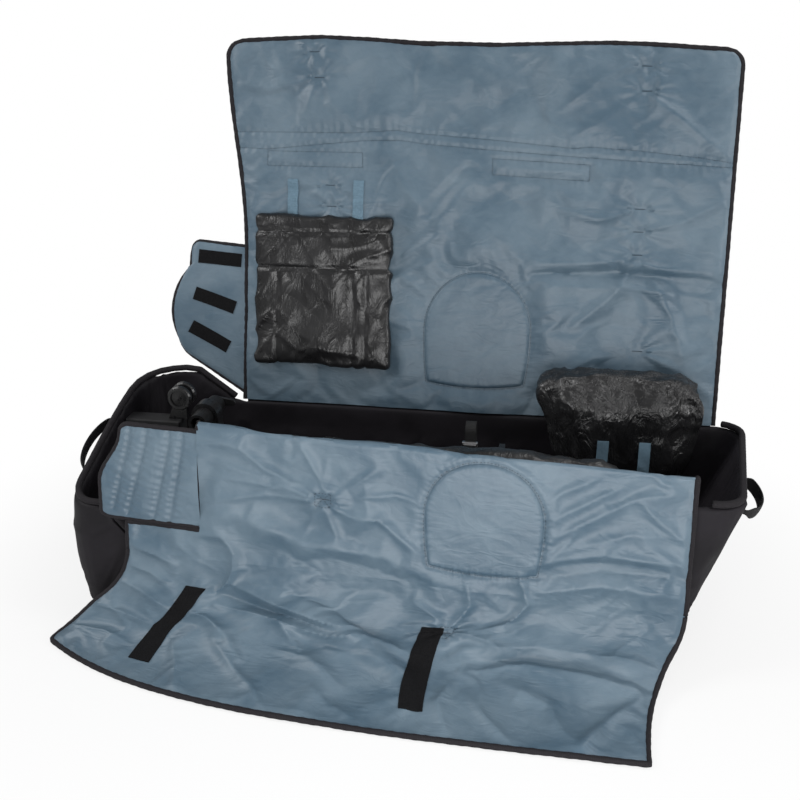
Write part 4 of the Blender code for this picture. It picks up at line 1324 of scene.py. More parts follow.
REAR_RELIEF = Relief(
    seed=21, billow=0.0070, wrinkle=0.0018, turn=34.0, flat=(0.147, 0.178, 0.120),
    folds=(
        fold(9, -7, 265, 309, 451, 316, 619, 301, 664, 303), fold(16, 6, 270, 334, 451, 341, 640, 322),
        fold(14, 4.5, 300, 281, 455, 286, 655, 268), fold(12, 4.2, 462, 765, 380, 712, 305, 655),
        fold(13, 4.5, 486, 690, 580, 622, 664, 556), fold(10, 3.2, 470, 690, 400, 640, 330, 600),
        fold(10, 3.2, -267, 790, -236, 755), fold(12, 3.6, -221, 705, -262, 628), fold(10, 3, -212, 705, -176, 640),
        fold(12, 3, -230, 715, -330, 690, -400, 700),
        fold(30, 6, -360, 560, -365, 420, -340, 250, -300, 120, sharp=2.0),
        fold(14, 4, -190, 430, -230, 330, -300, 230), fold(14, 4.5, 484, 345, 440, 270, 360, 200),
        fold(16, 4.5, 492, 345, 560, 240, 600, 120), fold(12, 3.8, 484, 454, 400, 430, 300, 450),
        fold(12, 3.8, 484, 406, 570, 430, 650, 470), fold(12, 3.6, 498, 150, 400, 130, 300, 70),
        fold(12, 3.6, 498, 150, 590, 110, 655, 60), fold(20, 4.5, 120, 500, 60, 420, 30, 330, sharp=2.0),
        fold(15, 3.5, -60, 560, -20, 480, 20, 440), fold(3.5, 1.4, -241, 761, -229, 713),
        fold(3.5, 1.4, -225, 761, -213, 713), fold(3.5, 1.4, -201, 488, -196, 442),
        fold(3.5, 1.4, -185, 488, -180, 442), fold(3.5, 1.4, 470, 747, 473, 697),
        fold(3.5, 1.4, 486, 747, 489, 697), fold(3.5, 1.4, 476, 454, 475, 357), fold(3.5, 1.4, 492, 454, 491, 357),
    ),
    tacks=tuple(Tack(x, s) for x, s in (
        (-0.233, 0.761), (-0.221, 0.713), (-0.193, 0.488), (-0.188, 0.442), (0.478, 0.747), (0.481, 0.697),
        (0.484, 0.454), (0.483, 0.406), (0.484, 0.357), (0.498, 0.150))),
    seams=(
        Seam(((-0.420, 0.600), (-0.230, 0.602), (-0.146, 0.602), (-0.044, 0.609), (0.0, 0.603), (0.179, 0.591),
              (0.339, 0.577), (0.370, 0.581), (0.475, 0.575), (0.599, 0.563), (0.690, 0.550)), 0.0034, 0.0040,
             0.0010, 0.019, 0.016),
        Seam(((-0.410, 0.566), (-0.337, 0.564), (-0.128, 0.585), (-0.039, 0.588), (0.016, 0.581),
              (0.158, 0.571), (0.287, 0.563), (0.376, 0.558), (0.518, 0.551), (0.690, 0.543)), 0.0030, 0.0036,
             0.0009, 0.017, 0.015),
        Seam(box_line(-0.337, -0.122, 0.528, 0.560)),
        Seam(box_line(0.165, 0.373, 0.519, 0.553, -0.009)),
        Seam(arch_line(*REAR_PATCH, 1.0), 0.0026, 0.0036, 0.0008, 0.012),
    ))

EAR_RELIEF = Relief(seed=33, billow=0.0014, wrinkle=0.0008, turn=70.0)

FRONT_RELIEF = Relief(
    seed=47, billow=0.0050, wrinkle=0.0014, turn=24.0, flat=(0.207, 0.118, 0.112),
    folds=(
        fold(11, 4.2, -253, 0, -261, 31, -211, 65, -112, 100), fold(10, 4.8, -304, 137, -222, 118, -121, 115),
        fold(9, 3.8, -293, 91, -222, 96, -121, 112), fold(8, 2.8, -330, 60, -230, 80, -121, 108),
        fold(11, 4.8, -87, 123, -47, 137, 11, 142, 90, 202), fold(10, 3.6, -76, 101, 11, 41),
        fold(9, 3.2, -78, 110, 40, 90, 95, 100), fold(10, 3.6, -95, 94, -143, 4), fold(8, 2.8, -100, 94, -90, 30),
        fold(9, 3.4, -104, 128, -140, 190), fold(9, 3.4, -95, 130, -70, 190),
        fold(10, 3.4, -345, 30, -300, 20, -262, 28), fold(11, 4, 335, 58, 428, 6), fold(12, 5, 336, 101, 484, 10),
        fold(13, 4.6, 332, 142, 486, 46, 560, 30), fold(12, 3.6, 340, 170, 470, 120, 570, 110),
        fold(20, 7, -333, 190, -280, 162, -145, 202, 11, 216, 109, 238, sharp=1.8),
        fold(22, -6, -320, 230, -200, 235, -50, 258, 90, 275, sharp=1.8),
        fold(12, 7, -345, 212, -300, 210, -277, 240, -277, 297, -290, 332, -330, 345),
        fold(12, 9.5, -275, 305, -190, 330, -111, 357, 0, 388, 110, 412),
        fold(9, -5, -290, 330, -190, 356, -90, 378, 40, 400),
        fold(11, 8, -272, 357, -180, 378, -87, 395, 60, 415, 185, 424),
        fold(10, -8, 300, 218, 350, 200, 426, 187, 534, 184, 580, 192), fold(14, 6, 300, 196, 430, 162, 570, 164),
        fold(18, 7, 310, 250, 430, 222, 570, 225), fold(10, -7, 251, 416, 346, 389, 441, 394, 552, 409, 590, 412),
        fold(15, 6, 251, 440, 350, 414, 450, 420, 590, 438), fold(14, 5.5, 230, 390, 346, 362, 450, 365, 580, 380),
        fold(10, 6.5, -485, 252, -440, 262, -392, 281), fold(9, 6, -491, 292, -440, 303, -394, 324),
        fold(10, 6, -496, 330, -430, 352, -357, 383), fold(11, 5.5, -496, 400, -420, 415, -338, 437),
        fold(12, 4.5, -490, 470, -420, 470, -340, 490), fold(12, 6, -214, 449, -150, 500, -84, 560, -55, 593),
        fold(12, 5, -280, 470, -240, 520, -215, 580), fold(12, 7, -346, 368, -260, 405, -187, 444, -140, 487),
        fold(10, 5.5, -148, 359, -110, 400, -53, 444), fold(12, 5.5, -120, 445, -20, 470, 60, 520),
        fold(11, 4.5, 0, 440, 100, 450, 160, 470), fold(12, 7, 278, 219, 296, 275, 270, 329, 212, 355),
        fold(8, 3.4, 85, 357, 140, 340, 158, 350), fold(9, 4, 85, 300, 130, 320, 165, 342),
        fold(10, 4.5, 178, 340, 190, 290, 180, 250), fold(10, 4.5, 195, 360, 260, 365, 310, 390),
        fold(12, 4.5, 510, 545, 478, 600), fold(13, 5.5, 563, 454, 520, 520, 478, 584),
        fold(13, 5.5, 280, 500, 330, 560, 367, 600), fold(13, 5, 330, 460, 420, 500, 450, 560),
        fold(12, 4.5, 20, 540, 60, 575, 120, 600), fold(11, 4.5, 245, 470, 235, 530, 260, 590),
    ),
    tacks=(Tack(-0.100, 0.113, 0.012, 0.0045, 0.060, 0.0022, 9), Tack(0.173, 0.359, 0.012, 0.0045, 0.055, 0.0022, 8)),
    seams=(
        Seam(arch_line(*FRONT_PATCH, -1.0), 0.0034, 0.0040, 0.0013, 0.011, 0.011),
        Seam(box_line(-0.115, -0.085, 0.100, 0.127), 0.0012, 0.0020, 0.0),
        Seam(((-0.115, 0.100), (-0.085, 0.127)), 0.0014, 0.0020, 0.0),
        Seam(((-0.115, 0.127), (-0.085, 0.100)), 0.0014, 0.0020, 0.0),
        Seam(box_line(0.158, 0.188, 0.346, 0.373), 0.0012, 0.0020, 0.0),
        Seam(((0.158, 0.346), (0.188, 0.373)), 0.0014, 0.0020, 0.0),
        Seam(((0.158, 0.373), (0.188, 0.346)), 0.0014, 0.0020, 0.0),
    ))

FRONT_EAR_RELIEF = Relief(
    seed=52, billow=0.0012, wrinkle=0.0006, turn=5.0,
    seams=tuple(Seam(line, 0.0046, 0.0052, 0.0012, 0.0125, 0.014) for line in (
        ((-0.478, -0.010), (-0.486, 0.040), (-0.523, 0.178)), ((-0.446, -0.010), (-0.452, 0.040), (-0.494, 0.188)),
        ((-0.400, -0.010), (-0.405, 0.040), (-0.441, 0.195)), ((-0.373, -0.010), (-0.378, 0.040), (-0.409, 0.199)))))


@dataclass
class RearFlap:
    """The flap that stands up behind the base, its top panel, patch, binding and outer tapes."""

    shop: Shop
    plane: RearPlane = field(default_factory=RearPlane)
    columns: int = 232
    rows: int = 168
    binding: float = 0.0055
    tape_width: float = 0.040
    tape_length: float = 0.215
    tapes: tuple[tuple[str, float, float], ...] = (("left_loop_tape", -0.337, 0.548),
                                                   ("right_loop_tape", 0.163, 0.538))
    top_edge: Line = ((-0.43, 0.003), (-0.32, 0.009), (-0.22, 0.013), (-0.12, 0.009), (0.0, 0.002), (0.17, -0.001),
                      (0.40, 0.004), (0.50, 0.001), (0.60, -0.006), (0.67, -0.010))

    def metres(self, u: Array, v: Array) -> tuple[Array, Array]:
        """X and the height up the flap of places on the grid."""
        s = mix(self.plane.low, self.plane.high, v)
        left, right = self.plane.cut(s)
        return mix(left, right, u), s

    def middle(self, u: Array, v: Array) -> Array:
        """The flap's middle surface, with its top edge drawn up and down as it hangs."""
        x, s = self.metres(u, v)
        lean = 0.004 * step((s - self.plane.fold) / 0.2) * np.sin(4.5 * x + 0.6)
        across = [place for place, _ in self.top_edge]
        wave = np.interp(x, across, [rise for _, rise in self.top_edge])
        return self.plane.point(x, s + wave * step((s - 0.66) / 0.13), self.plane.slump(x, s) + lean)

    def shares(self, x: Array, s: Array) -> tuple[Array, Array]:
        """The grid shares of places in metres."""
        left, right = self.plane.cut(s)
        return (x - left) / (right - left), (s - self.plane.low) / (self.plane.high - self.plane.low)

    def build(self) -> Panel:
        """Make the flap's pieces.

        Returns:
            The flap's panel, which other pieces lie on.
        """
        panel = Panel("rear_flap_pad", self.columns, self.rows, self.middle, self.metres, (0, -1, 0.2), REAR_RELIEF,
                      free=("left", "right", "high"), run=ClothRun(2.0, 0.012, 9, 0.005))
        item = self.shop.pad(panel.name, panel.build(), 0.3, *TWO_FACES)
        start, end = self.plane.point(0.0, 0.576), self.plane.point(0.0, 0.606)
        self.shop.bend(item, "rear_flap", "rear_top", start, end, "rear_flap", "rear_top_panel")
        path = panel.rim(("left", 0, self.rows), ("high", 0, self.columns), ("right", self.rows, 0))
        edge = self.shop.tape("rear_flap_binding", path, self.binding)
        self.shop.bend(edge, "rear_flap", "rear_top", start, end)
        thread = Stitching(panel, self.shares).build("rear_flap_stitching", REAR_RELIEF, 0.0, 1.0)
        self.shop.bend(self.shop.link(thread.name, thread, Finish.THREAD), "rear_flap", "rear_top", start, end)
        self.patch(panel)
        self.outer_tapes(panel)
        return panel

    def patch(self, panel: Panel) -> None:
        """Make the round padded patch that protects the lining."""
        (x0, s0), width, height = REAR_PATCH

        def spread(u: Array, v: Array) -> tuple[Array, Array]:
            a, b = arch(2 * u - 1, 2 * v - 1)
            return x0 + a * (width - 0.006) / 2, s0 + b * (height - 0.006) / 2

        patch = Patch("rear_patch_pad", 56, 60, panel, spread, self.shares, 0.0034, 61)
        item = self.shop.pad(patch.name, patch.build(), 0.3, Finish.LINING)
        self.shop.seat(item, "rear_flap", "rear_hub_patch")

    def outer_tapes(self, panel: Panel) -> None:
        """Make the loop tapes on the flap's outer face."""
        for name, left, s0 in self.tapes:
            def place(u: Array, v: Array, left: float = left, s0: float = s0) -> Array:
                x, s = left + u * self.tape_length, s0 + (v - 0.5) * self.tape_width
                return self.plane.point(x, s, self.plane.slump(x, s) + 0.0078)

            tape = Strip(name + "_pile", 43, 9, place, (self.tape_length, self.tape_width), (0, 1, -0.2))
            item = self.shop.link(tape.name, tape.build(), Finish.HOOK)
            self.shop.seat(item, "rear_flap", name)


@dataclass
class Patch:
    """A thin pad sewn on a panel, domed and drawn down to the panel at its edge."""

    name: str
    columns: int
    rows: int
    panel: Panel
    spread: Callable[[Array, Array], tuple[Array, Array]]
    shares: Callable[[Array, Array], tuple[Array, Array]]
    height: float
    seed: int

    def build(self) -> bpy.types.Mesh:
        """Make the patch's closed mesh.

        Returns:
            The mesh.
        """
        u, v = np.meshgrid(np.linspace(0, 1, self.columns + 1), np.linspace(0, 1, self.rows + 1))
        x, y = self.spread(u, v)
        across, along = self.shares(x, y)
        reach = np.maximum(np.abs(2 * u - 1), np.abs(2 * v - 1))
        dome = np.sqrt(np.clip(1 - reach ** 14, 0, 1)) * (0.86 + 0.14 * (1 - reach ** 2))
        noise = Billows(self.seed)
        grain = 0.0008 * noise.at(x / 0.05, y / 0.05) + 0.0005 * noise.wrinkles(x, y, 0.021, 30.0, 3.0)
        pull = 0.0007 * np.cos(60 * np.arctan2(v - 0.5, u - 0.5)) * np.exp(-((1 - reach) / 0.10) ** 2)
        lift = 0.0003 + np.maximum(dome * (self.height + grain + pull), 0.0)
        upper = self.panel.sample(across, along, lift)
        lower = self.panel.sample(across, along, 0.0001)
        bm = layers(self.columns, self.rows, 1.0)
        maps = []
        for vertex in bm.verts:
            i, j = round((vertex.co.x + 0.5) * self.columns), round((vertex.co.y + 0.5) * self.rows)
            maps.append((x[j, i], y[j, i]))
            vertex.co = (upper if vertex.co.z > -0.5 else lower)[j, i]
        bmesh.ops.recalc_face_normals(bm, faces=bm.faces)
        mesh = bpy.data.meshes.new(self.name)
        bm.to_mesh(mesh)
        bm.free()
        map_cloth(mesh, np.array(maps))
        mesh.shade_smooth()
        return mesh


@dataclass
class Stitching:
    """Rows of short stitches sunk in a panel's seams, and the dense bars of its tacks."""

    panel: Panel
    shares: Callable[[Array, Array], tuple[Array, Array]]
    pitch: float = 0.0052
    length: float = 0.0040
    thickness: float = 0.0013

    def build(self, name: str, relief: Relief, low: float, high: float) -> bpy.types.Mesh:
        """Make all stitches whose place along the panel is between low and high.

        Args:
            name: the mesh's name.
            relief: the relief whose seams and tacks are stitched.
            low: the lowest place.
            high: the highest place.

        Returns:
            The mesh.
        """
        lines = [seam.points for seam in relief.seams]
        bars = [((tack.x - tack.half, tack.y), (tack.x + tack.half, tack.y)) for tack in relief.tacks]
        bm = bmesh.new()
        for points, dense in [*((line, False) for line in lines), *((bar, True) for bar in bars)]:
            for (x0, y0), (x1, y1) in zip(points, points[1:]):
                size = math.hypot(x1 - x0, y1 - y0)
                count = max(1, int(size / (self.pitch * (0.35 if dense else 1.0))))
                for number in range(count):
                    share = (number + 0.5) / count
                    x, y = mix(x0, x1, share), mix(y0, y1, share)
                    if not low <= y <= high:
                        continue
                    half = self.length / 2 / size
                    self.stitch(bm, (mix(x0, x1, share - half), mix(y0, y1, share - half)),
                                (mix(x0, x1, share + half), mix(y0, y1, share + half)), dense)
        mesh = bpy.data.meshes.new(name)
        bm.to_mesh(mesh)
        bm.free()
        map_cloth(mesh, read_points(mesh)[:, [0, 2]])
        mesh.shade_smooth()
        return mesh

    def stitch(self, bm: bmesh.types.BMesh, start: tuple[float, float], end: tuple[float, float],
               dense: bool) -> None:
        """Add one stitch between two places on the panel."""
        across, along = self.shares(np.array([start[0], end[0]]), np.array([start[1], end[1]]))
        if across.min() < 0 or across.max() > 1:
            return
        first, last = self.panel.sample(across, np.clip(along, 0, 1), 0.0001)
        turn = Vector(last - first).to_track_quat("X", "Z").to_matrix().to_4x4()
        width = self.thickness * (1.5 if dense else 1.0)
        scale = Matrix.Diagonal((self.length * 0.55, width / 2, width / 2, 1.0))
        bmesh.ops.create_icosphere(bm, subdivisions=1, radius=1.0,
                                   matrix=Matrix.Translation(Vector((first + last) / 2)) @ turn @ scale)


@dataclass
class Strip:
    """A flat tape of even thickness laid on a surface, with rounded edges."""

    name: str
    columns: int
    rows: int
    place: Surface
    size: tuple[float, float]
    toward: tuple[float, float, float]
    thickness: float = 0.0020

    def build(self) -> bpy.types.Mesh:
        """Make the tape's closed mesh.

        Returns:
            The mesh.
        """
        bm = bmesh.new()
        bmesh.ops.create_grid(bm, x_segments=self.columns, y_segments=self.rows, size=0.5)
        flat = np.array([vertex.co[:2] for vertex in bm.verts]) + 0.5
        places = self.place(flat[:, 0], flat[:, 1])
        for vertex, place in zip(bm.verts, places):
            vertex.co = place
        bm.normal_update()
        bm.faces.ensure_lookup_table()
        if bm.faces[len(bm.faces) // 2].normal.dot(Vector(self.toward)) < 0:
            bmesh.ops.reverse_faces(bm, faces=bm.faces)
        bmesh.ops.solidify(bm, geom=bm.faces, thickness=self.thickness)
        bmesh.ops.recalc_face_normals(bm, faces=bm.faces)
        rim = [edge for edge in bm.edges if edge.is_manifold and edge.calc_face_angle(0) > 1.0]
        bmesh.ops.bevel(bm, geom=rim, offset=self.thickness * 0.3, segments=2, profile=0.5, affect="EDGES",
                        material=-1)
        mesh = bpy.data.meshes.new(self.name)
        bm.to_mesh(mesh)
        bm.free()
        made = read_points(mesh)
        nearest = np.empty((len(made), 2))
        for start in range(0, len(made), 400):
            block = made[start:start + 400]
            gaps = ((block[:, None] - places[None]) ** 2).sum(-1)
            nearest[start:start + 400] = flat[np.argmin(gaps, axis=1)]
        map_cloth(mesh, nearest * np.array(self.size))
        mesh.shade_smooth()
        return mesh


@dataclass
class RearEar:
    """The wing beside the rear flap, with its three hook strips."""

    shop: Shop
    plane: RearPlane = field(default_factory=RearPlane)
    bottom: float = 0.012
    height: float = 0.335
    cut: float = 0.095
    wide: float = 0.172
    neck: float = 0.128
    corner: float = 0.16
    binding: float = 0.0042
    hooks: tuple[tuple[str, float, float, float], ...] = (
        ("upper", -0.446, 0.318, 4.0), ("middle", -0.458, 0.222, 18.0), ("lower", -0.470, 0.138, 27.0))
    hook_size: tuple[float, float] = (0.100, 0.030)

    def metres(self, u: Array, v: Array) -> tuple[Array, Array]:
        """X and the height up the flap of places on the ear, its outer corners rounded."""
        low = self.bottom + self.cut * u
        over = np.clip((u - (1 - self.corner)) / self.corner, 0, 1)
        pull = self.corner * self.wide * (1 - np.sqrt(np.maximum(1 - over ** 2, 0.0)))
        high = self.bottom + self.height + 0.010 * u
        s = mix(low + pull * 0.8, high - pull, v)
        width = mix(self.neck, self.wide, np.sin(np.pi * np.minimum(v + 0.18, 0.999)) ** 0.7)
        return self.plane.left - 0.0003 - width * u, s

    def middle(self, u: Array, v: Array) -> Array:
        """The ear's middle surface, with its tip curled a little forward."""
        x, s = self.metres(u, v)
        return self.plane.point(x, s, -0.010 * step((u - 0.35) / 0.65) * np.sin(np.pi * v) ** 0.5)

    def build(self) -> None:
        """Make the ear, its binding and its strips."""
        panel = Panel("rear_ear_pad", 44, 84, self.middle, self.metres, (0, -1, 0.2), EAR_RELIEF,
                      free=("right", "low", "high"), edge_run=0.012)
        item = self.shop.pad(panel.name, panel.build(), 0.3, *TWO_FACES)
        start = self.plane.point(self.plane.left - 0.001, 0.18)
        end = self.plane.point(self.plane.left - 0.012, 0.18)
        self.shop.bend(item, "rear_flap", "rear_ear", start, end, "rear_ear")
        path = panel.rim(("low", 0, 44), ("right", 0, 84), ("high", 44, 0))
        edge = self.shop.tape("rear_ear_binding", path, self.binding)
        self.shop.bend(edge, "rear_flap", "rear_ear", start, end)
        for name, x0, s0, tilt in self.hooks:
            angle = math.radians(-tilt)

            def place(u: Array, v: Array, x0: float = x0, s0: float = s0, angle: float = angle) -> Array:
                a, b = (u - 0.5) * self.hook_size[0], (v - 0.5) * self.hook_size[1]
                x = x0 + a * math.cos(angle) - b * math.sin(angle)
                s = s0 + a * math.sin(angle) + b * math.cos(angle)
                across, along = self.shares(x, s)
                return panel.sample(across, along, 0.0019)

            strip = Strip(name + "_ear_hook_pile", 34, 10, place, self.hook_size, (0, -1, 0.2), 0.0018)
            piece = self.shop.link(strip.name, strip.build(), Finish.HOOK)
            self.shop.seat(piece, "rear_ear", name + "_ear_hook")

    def shares(self, x: Array, s: Array) -> tuple[Array, Array]:
        """The grid shares of places in metres, found by a few steps towards them."""
        u = np.clip((self.plane.left - x) / self.wide, 0, 1)
        v = np.clip((s - self.bottom) / self.height, 0, 1)
        for _ in range(12):
            found_x, found_s = self.metres(u, v)
            u = np.clip(u - (x - found_x) / self.wide, 0, 1)
            v = np.clip(v + (s - found_s) / self.height, 0, 1)
        return u, v


@dataclass(frozen=True)
class FrontPlane:
    """Where the front flap goes: up from the rim, over its crest, down outside and out along the ground."""

    root_y: float = -0.203
    hinge_y: float = -0.2123
    rim: float = 0.3303
    crest_height: float = 0.4135
    crest_slope: float = -0.042
    slope: float = 0.125
    drop: float = 0.262
    slot: float = 0.205
    left: float = -0.345
    left_low: float = -0.497
    right: float = 0.585
    end_left: float = -0.637
    end_right: float = 0.512
    fall: float = 0.095
    knee: float = 0.15
    ground: float = 0.0051
    reach: float = 0.515
    reach_left: float = 0.335
    reach_run: float = 0.250

    def crest(self, x: Array) -> Array:
        """The crest's height at X."""
        return self.crest_height + self.crest_slope * x

    def point(self, x: Array, d: Array, out: Array | float = 0.0) -> Array:
        """Places on the hanging panel.

        Args:
            x: places across.
            d: distances down from the crest.
            out: how far out from the panel's middle.

        Returns:
            The places.
        """
        size = math.hypot(1.0, self.slope)
        x, d, out = np.broadcast_arrays(x, d, out)
        y = self.hinge_y - self.slope / size * d - out / size
        z = self.crest(x) - d / size + self.slope / size * out
        return np.stack([x, y, z], axis=-1)

    def over(self, x: Array, w: Array) -> Array:
        """Places along the strip that stands on the rim, turns over the crest and hangs down.

        Args:
            x: places across.
            w: distances along: 0 where the hanging panel starts, and less before it.

        Returns:
            The places.
        """
        radius = (self.root_y - self.hinge_y) / 2
        centre_y = (self.root_y + self.hinge_y) / 2
        angle = np.clip(-w / radius, 0, np.pi)
        rest = np.minimum(w + np.pi * radius, 0.0)
        turned = np.stack([x, centre_y - radius * np.cos(angle), self.crest(x) - 0.0023 + radius * np.sin(angle)
                           + rest], axis=-1)
        hanging = self.point(x, np.maximum(w, 0.0))
        hanging[..., 2] -= 0.0023 * (1 - step(w / 0.04))
        return np.where((w > 0)[..., None], hanging, turned)

    def foot(self, x: Array) -> Array:
        """The distance along at which the strip leaves the rim."""
        return -(self.crest(x) - 0.0023 - self.rim) - np.pi * (self.root_y - self.hinge_y) / 2

    def end(self, u: Array, v: Array) -> Array:
        """The end panel: down from the bend, round the knee, and out along the ground.

        Args:
            u: shares across.
            v: shares along.

        Returns:
            The places.
        """
        x = mix(mix(self.left_low, self.end_left, step(v)), mix(self.right, self.end_right, step(v)), u)
        start, first = self.point(x, self.drop), self.point(x, self.drop + self.fall)
        reach = mix(self.reach, self.reach_left, np.exp(-(x - self.end_left) / self.reach_run))
        knee = mix(first[..., 1], -reach, self.knee)
        a, b, c, d = (1 - v) ** 3, 3 * v * (1 - v) ** 2, 3 * v * v * (1 - v), v ** 3
        y = start[..., 1] * a + first[..., 1] * b + knee * c - reach * d
        z = start[..., 2] * a + first[..., 2] * b + self.ground * (c + d)
        level = 16 * (v * (1 - v)) ** 2
        ripple = 0.008 * np.sin(9 * x + 7 * v) ** 2
        ridge = 0.016 * np.exp(-((x + 0.30 - 0.5 * v) / 0.05) ** 2)
        return np.stack([x, y, z + level * (ripple + ridge)], axis=-1)


@dataclass
class FrontFlap:
    """The flap that is turned over outside: its root, hanging panel, ear, end panel, patch and strips."""

    shop: Shop
    plane: FrontPlane = field(default_factory=FrontPlane)
    columns: int = 270
    rows: int = 96
    low_rows: int = 16
    left_columns: int = 38
    end_rows: int = 96
    binding: float = 0.0052
    ear_tip: float = 0.160
    ear_width: float = 0.205
    ear_head: float = 0.005
    ear_foot: float = 0.199
    ear_binding: float = 0.0050
    hook_width: float = 0.045
    hooks: tuple[tuple[str, float, float, float, float], ...] = (
        ("left_hook_strip", 0.150, 0.24, 0.168, 0.86), ("right_hook_strip", 0.595, 0.34, 0.640, 0.90))

    def across(self, u: Array) -> Array:
        """X of a share across the strip, with a grid line at the ear's slot."""
        share = self.left_columns / self.columns
        near = mix(self.plane.left_low, self.plane.left, u / share)
        far = mix(self.plane.left, self.plane.right, (u - share) / (1 - share))
        return np.where(u <= share, near, far)

    def metres(self, u: Array, v: Array) -> tuple[Array, Array]:
        """X and the distance along the strip of places on the grid."""
        x = self.across(u)
        share = 1 - self.low_rows / self.rows
        foot = self.plane.foot(x)
        upper = mix(foot, self.plane.slot, v / share)
        lower = mix(self.plane.slot, self.plane.drop, (v - share) / (1 - share))
        return x, np.where(v <= share, upper, lower)

    def shares(self, x: Array, w: Array) -> tuple[Array, Array]:
        """The grid shares of places in metres."""
        columns = self.left_columns / self.columns
        near = (x - self.plane.left_low) / (self.plane.left - self.plane.left_low) * columns
        far = columns + (x - self.plane.left) / (self.plane.right - self.plane.left) * (1 - columns)
        rows = 1 - self.low_rows / self.rows
        foot = self.plane.foot(x)
        upper = (w - foot) / (self.plane.slot - foot) * rows
        lower = rows + (w - self.plane.slot) / (self.plane.drop - self.plane.slot) * (1 - rows)
        return np.where(x < self.plane.left, near, far), np.where(w < self.plane.slot, upper, lower)

    def middle(self, u: Array, v: Array) -> Array:
        """The strip's middle surface."""
        x, w = self.metres(u, v)
        return self.plane.over(x, w)

    def end_share(self, u: Array) -> Array:
        """A grid share as a share of the end panel's width, so that its columns meet the strip's."""
        return (self.across(u) - self.plane.left_low) / (self.plane.right - self.plane.left_low)

    def grid_share(self, share: Array) -> Array:
        """A share of the end panel's width as a grid share, which undoes end_share."""
        edge = (self.plane.left - self.plane.left_low) / (self.plane.right - self.plane.left_low)
        column = self.left_columns / self.columns
        return np.where(share < edge, share / edge * column, column + (share - edge) / (1 - edge) * (1 - column))

    def end_middle(self, u: Array, v: Array) -> Array:
        """The end panel's middle surface."""
        return self.plane.end(self.end_share(u), v)

    def end_metres(self, u: Array, v: Array) -> tuple[Array, Array]:
        """The end panel's places in the flap's own measure, from the lengths of its rows."""
        u = self.end_share(u)
        steps = np.linspace(0, 1, 121)
        columns = np.linspace(0, 1, 41)
        across, along = np.meshgrid(columns, steps)
        places = self.plane.end(across, along)
        gone = np.cumsum(np.linalg.norm(np.diff(places, axis=0), axis=-1), axis=0)
        gone = np.concatenate([np.zeros((1, len(columns))), gone])
        row, column = np.clip(v * 120, 0, 119.999), np.clip(u * 40, 0, 39.999)
        j, i = row.astype(int), column.astype(int)
        fy, fx = row - j, column - i
        length = mix(mix(gone[j, i], gone[j, i + 1], fx), mix(gone[j + 1, i], gone[j + 1, i + 1], fx), fy)
        return mix(self.plane.left_low, self.plane.right, u), self.plane.drop + length

    def end_shares(self, x: Array, d: Array) -> tuple[Array, Array]:
        """The end panel's grid shares of places in the flap's measure, found by a few steps towards them."""
        u = self.shares(x, np.full(np.shape(x), self.plane.drop))[0]
        v = np.clip((d - self.plane.drop) / 0.35, 0, 1)
        for _ in range(20):
            v = np.clip(v + (d - self.end_metres(u, v)[1]) / 0.45, 0, 1)
        return u, v

    def build(self) -> None:
        """Make all of the flap's pieces."""
        slot_row = self.rows - self.low_rows
        slot_share = slot_row / self.rows
        left_share = self.left_columns / self.columns
        strip = Panel("front_flap_pad", self.columns, self.rows, self.middle, self.metres, (0, -1, 0.1),
                      FRONT_RELIEF, free=("left", "right", "low"),
                      missing=lambda u, v: u < left_share and v < slot_share,
                      run=ClothRun(2.0, 0.012, 9, 0.005))
        item = self.shop.pad(strip.name, strip.build(), 0.3, *TWO_FACES)
        start, end = (0.0, -0.2045, 0.40), (0.0, -0.2112, 0.40)
        self.shop.bend(item, "base", "front_flap", start, end, "front_flap_root", "front_flap")
        end_panel = Panel("front_end_pad", self.columns, self.end_rows, self.end_middle, self.end_metres,
                          (0, -0.6, 1), FRONT_RELIEF, free=("left", "right", "high"),
                          run=ClothRun(2.0, 0.012, 9, 0.005))
        piece = self.shop.pad(end_panel.name, end_panel.build(), 0.3, *TWO_FACES)
        down = np.array([self.plane.crest_slope, -self.plane.slope, -1.0])
        bend_start = self.plane.point(np.array(0.0), np.array(self.plane.drop + 0.002))
        bend_end = bend_start + unit(down) * 0.040
        self.shop.bend(piece, "front_flap", "front_end", bend_start, bend_end, "front_flap_end")
        crest_row = round(slot_row * 0.36)
        inner = strip.rim((f"column:{self.left_columns}", 0, crest_row))
        slot = strip.rim((f"row:{slot_row}", self.left_columns, 0), ("left", slot_row, self.rows))
        outer = strip.rim(("right", 0, self.rows))
        for name, path in (("front_root_binding", inner), ("front_slot_binding", slot),
                           ("front_right_binding", outer)):
            self.shop.bend(self.shop.tape(name, path, self.binding), "base", "front_flap", start, end)
        path = end_panel.rim(("left", 0, self.end_rows), ("high", 0, self.columns), ("right", self.end_rows, 0))
        hem = self.shop.tape("front_end_binding", path, self.binding)
        self.shop.bend(hem, "front_flap", "front_end", bend_start, bend_end)
        thread = Stitching(strip, self.shares).build("front_flap_stitching", FRONT_RELIEF, 0.002, 0.245)
        self.shop.seat(self.shop.link(thread.name, thread, Finish.THREAD), "front_flap")
        thread = Stitching(end_panel, self.end_shares).build("front_end_stitching", FRONT_RELIEF, 0.30, 0.60)
        self.shop.seat(self.shop.link(thread.name, thread, Finish.THREAD), "front_end")
        self.patch(strip)
        self.strips(end_panel)
        self.ear()

    def patch(self, strip: Panel) -> None:
        """Make the round padded patch."""
        (x0, d0), width, height = FRONT_PATCH

        def spread(u: Array, v: Array) -> tuple[Array, Array]:
            a, b = arch(2 * u - 1, 2 * v - 1)
            return x0 + a * (width - 0.006) / 2, d0 - b * (height - 0.006) / 2

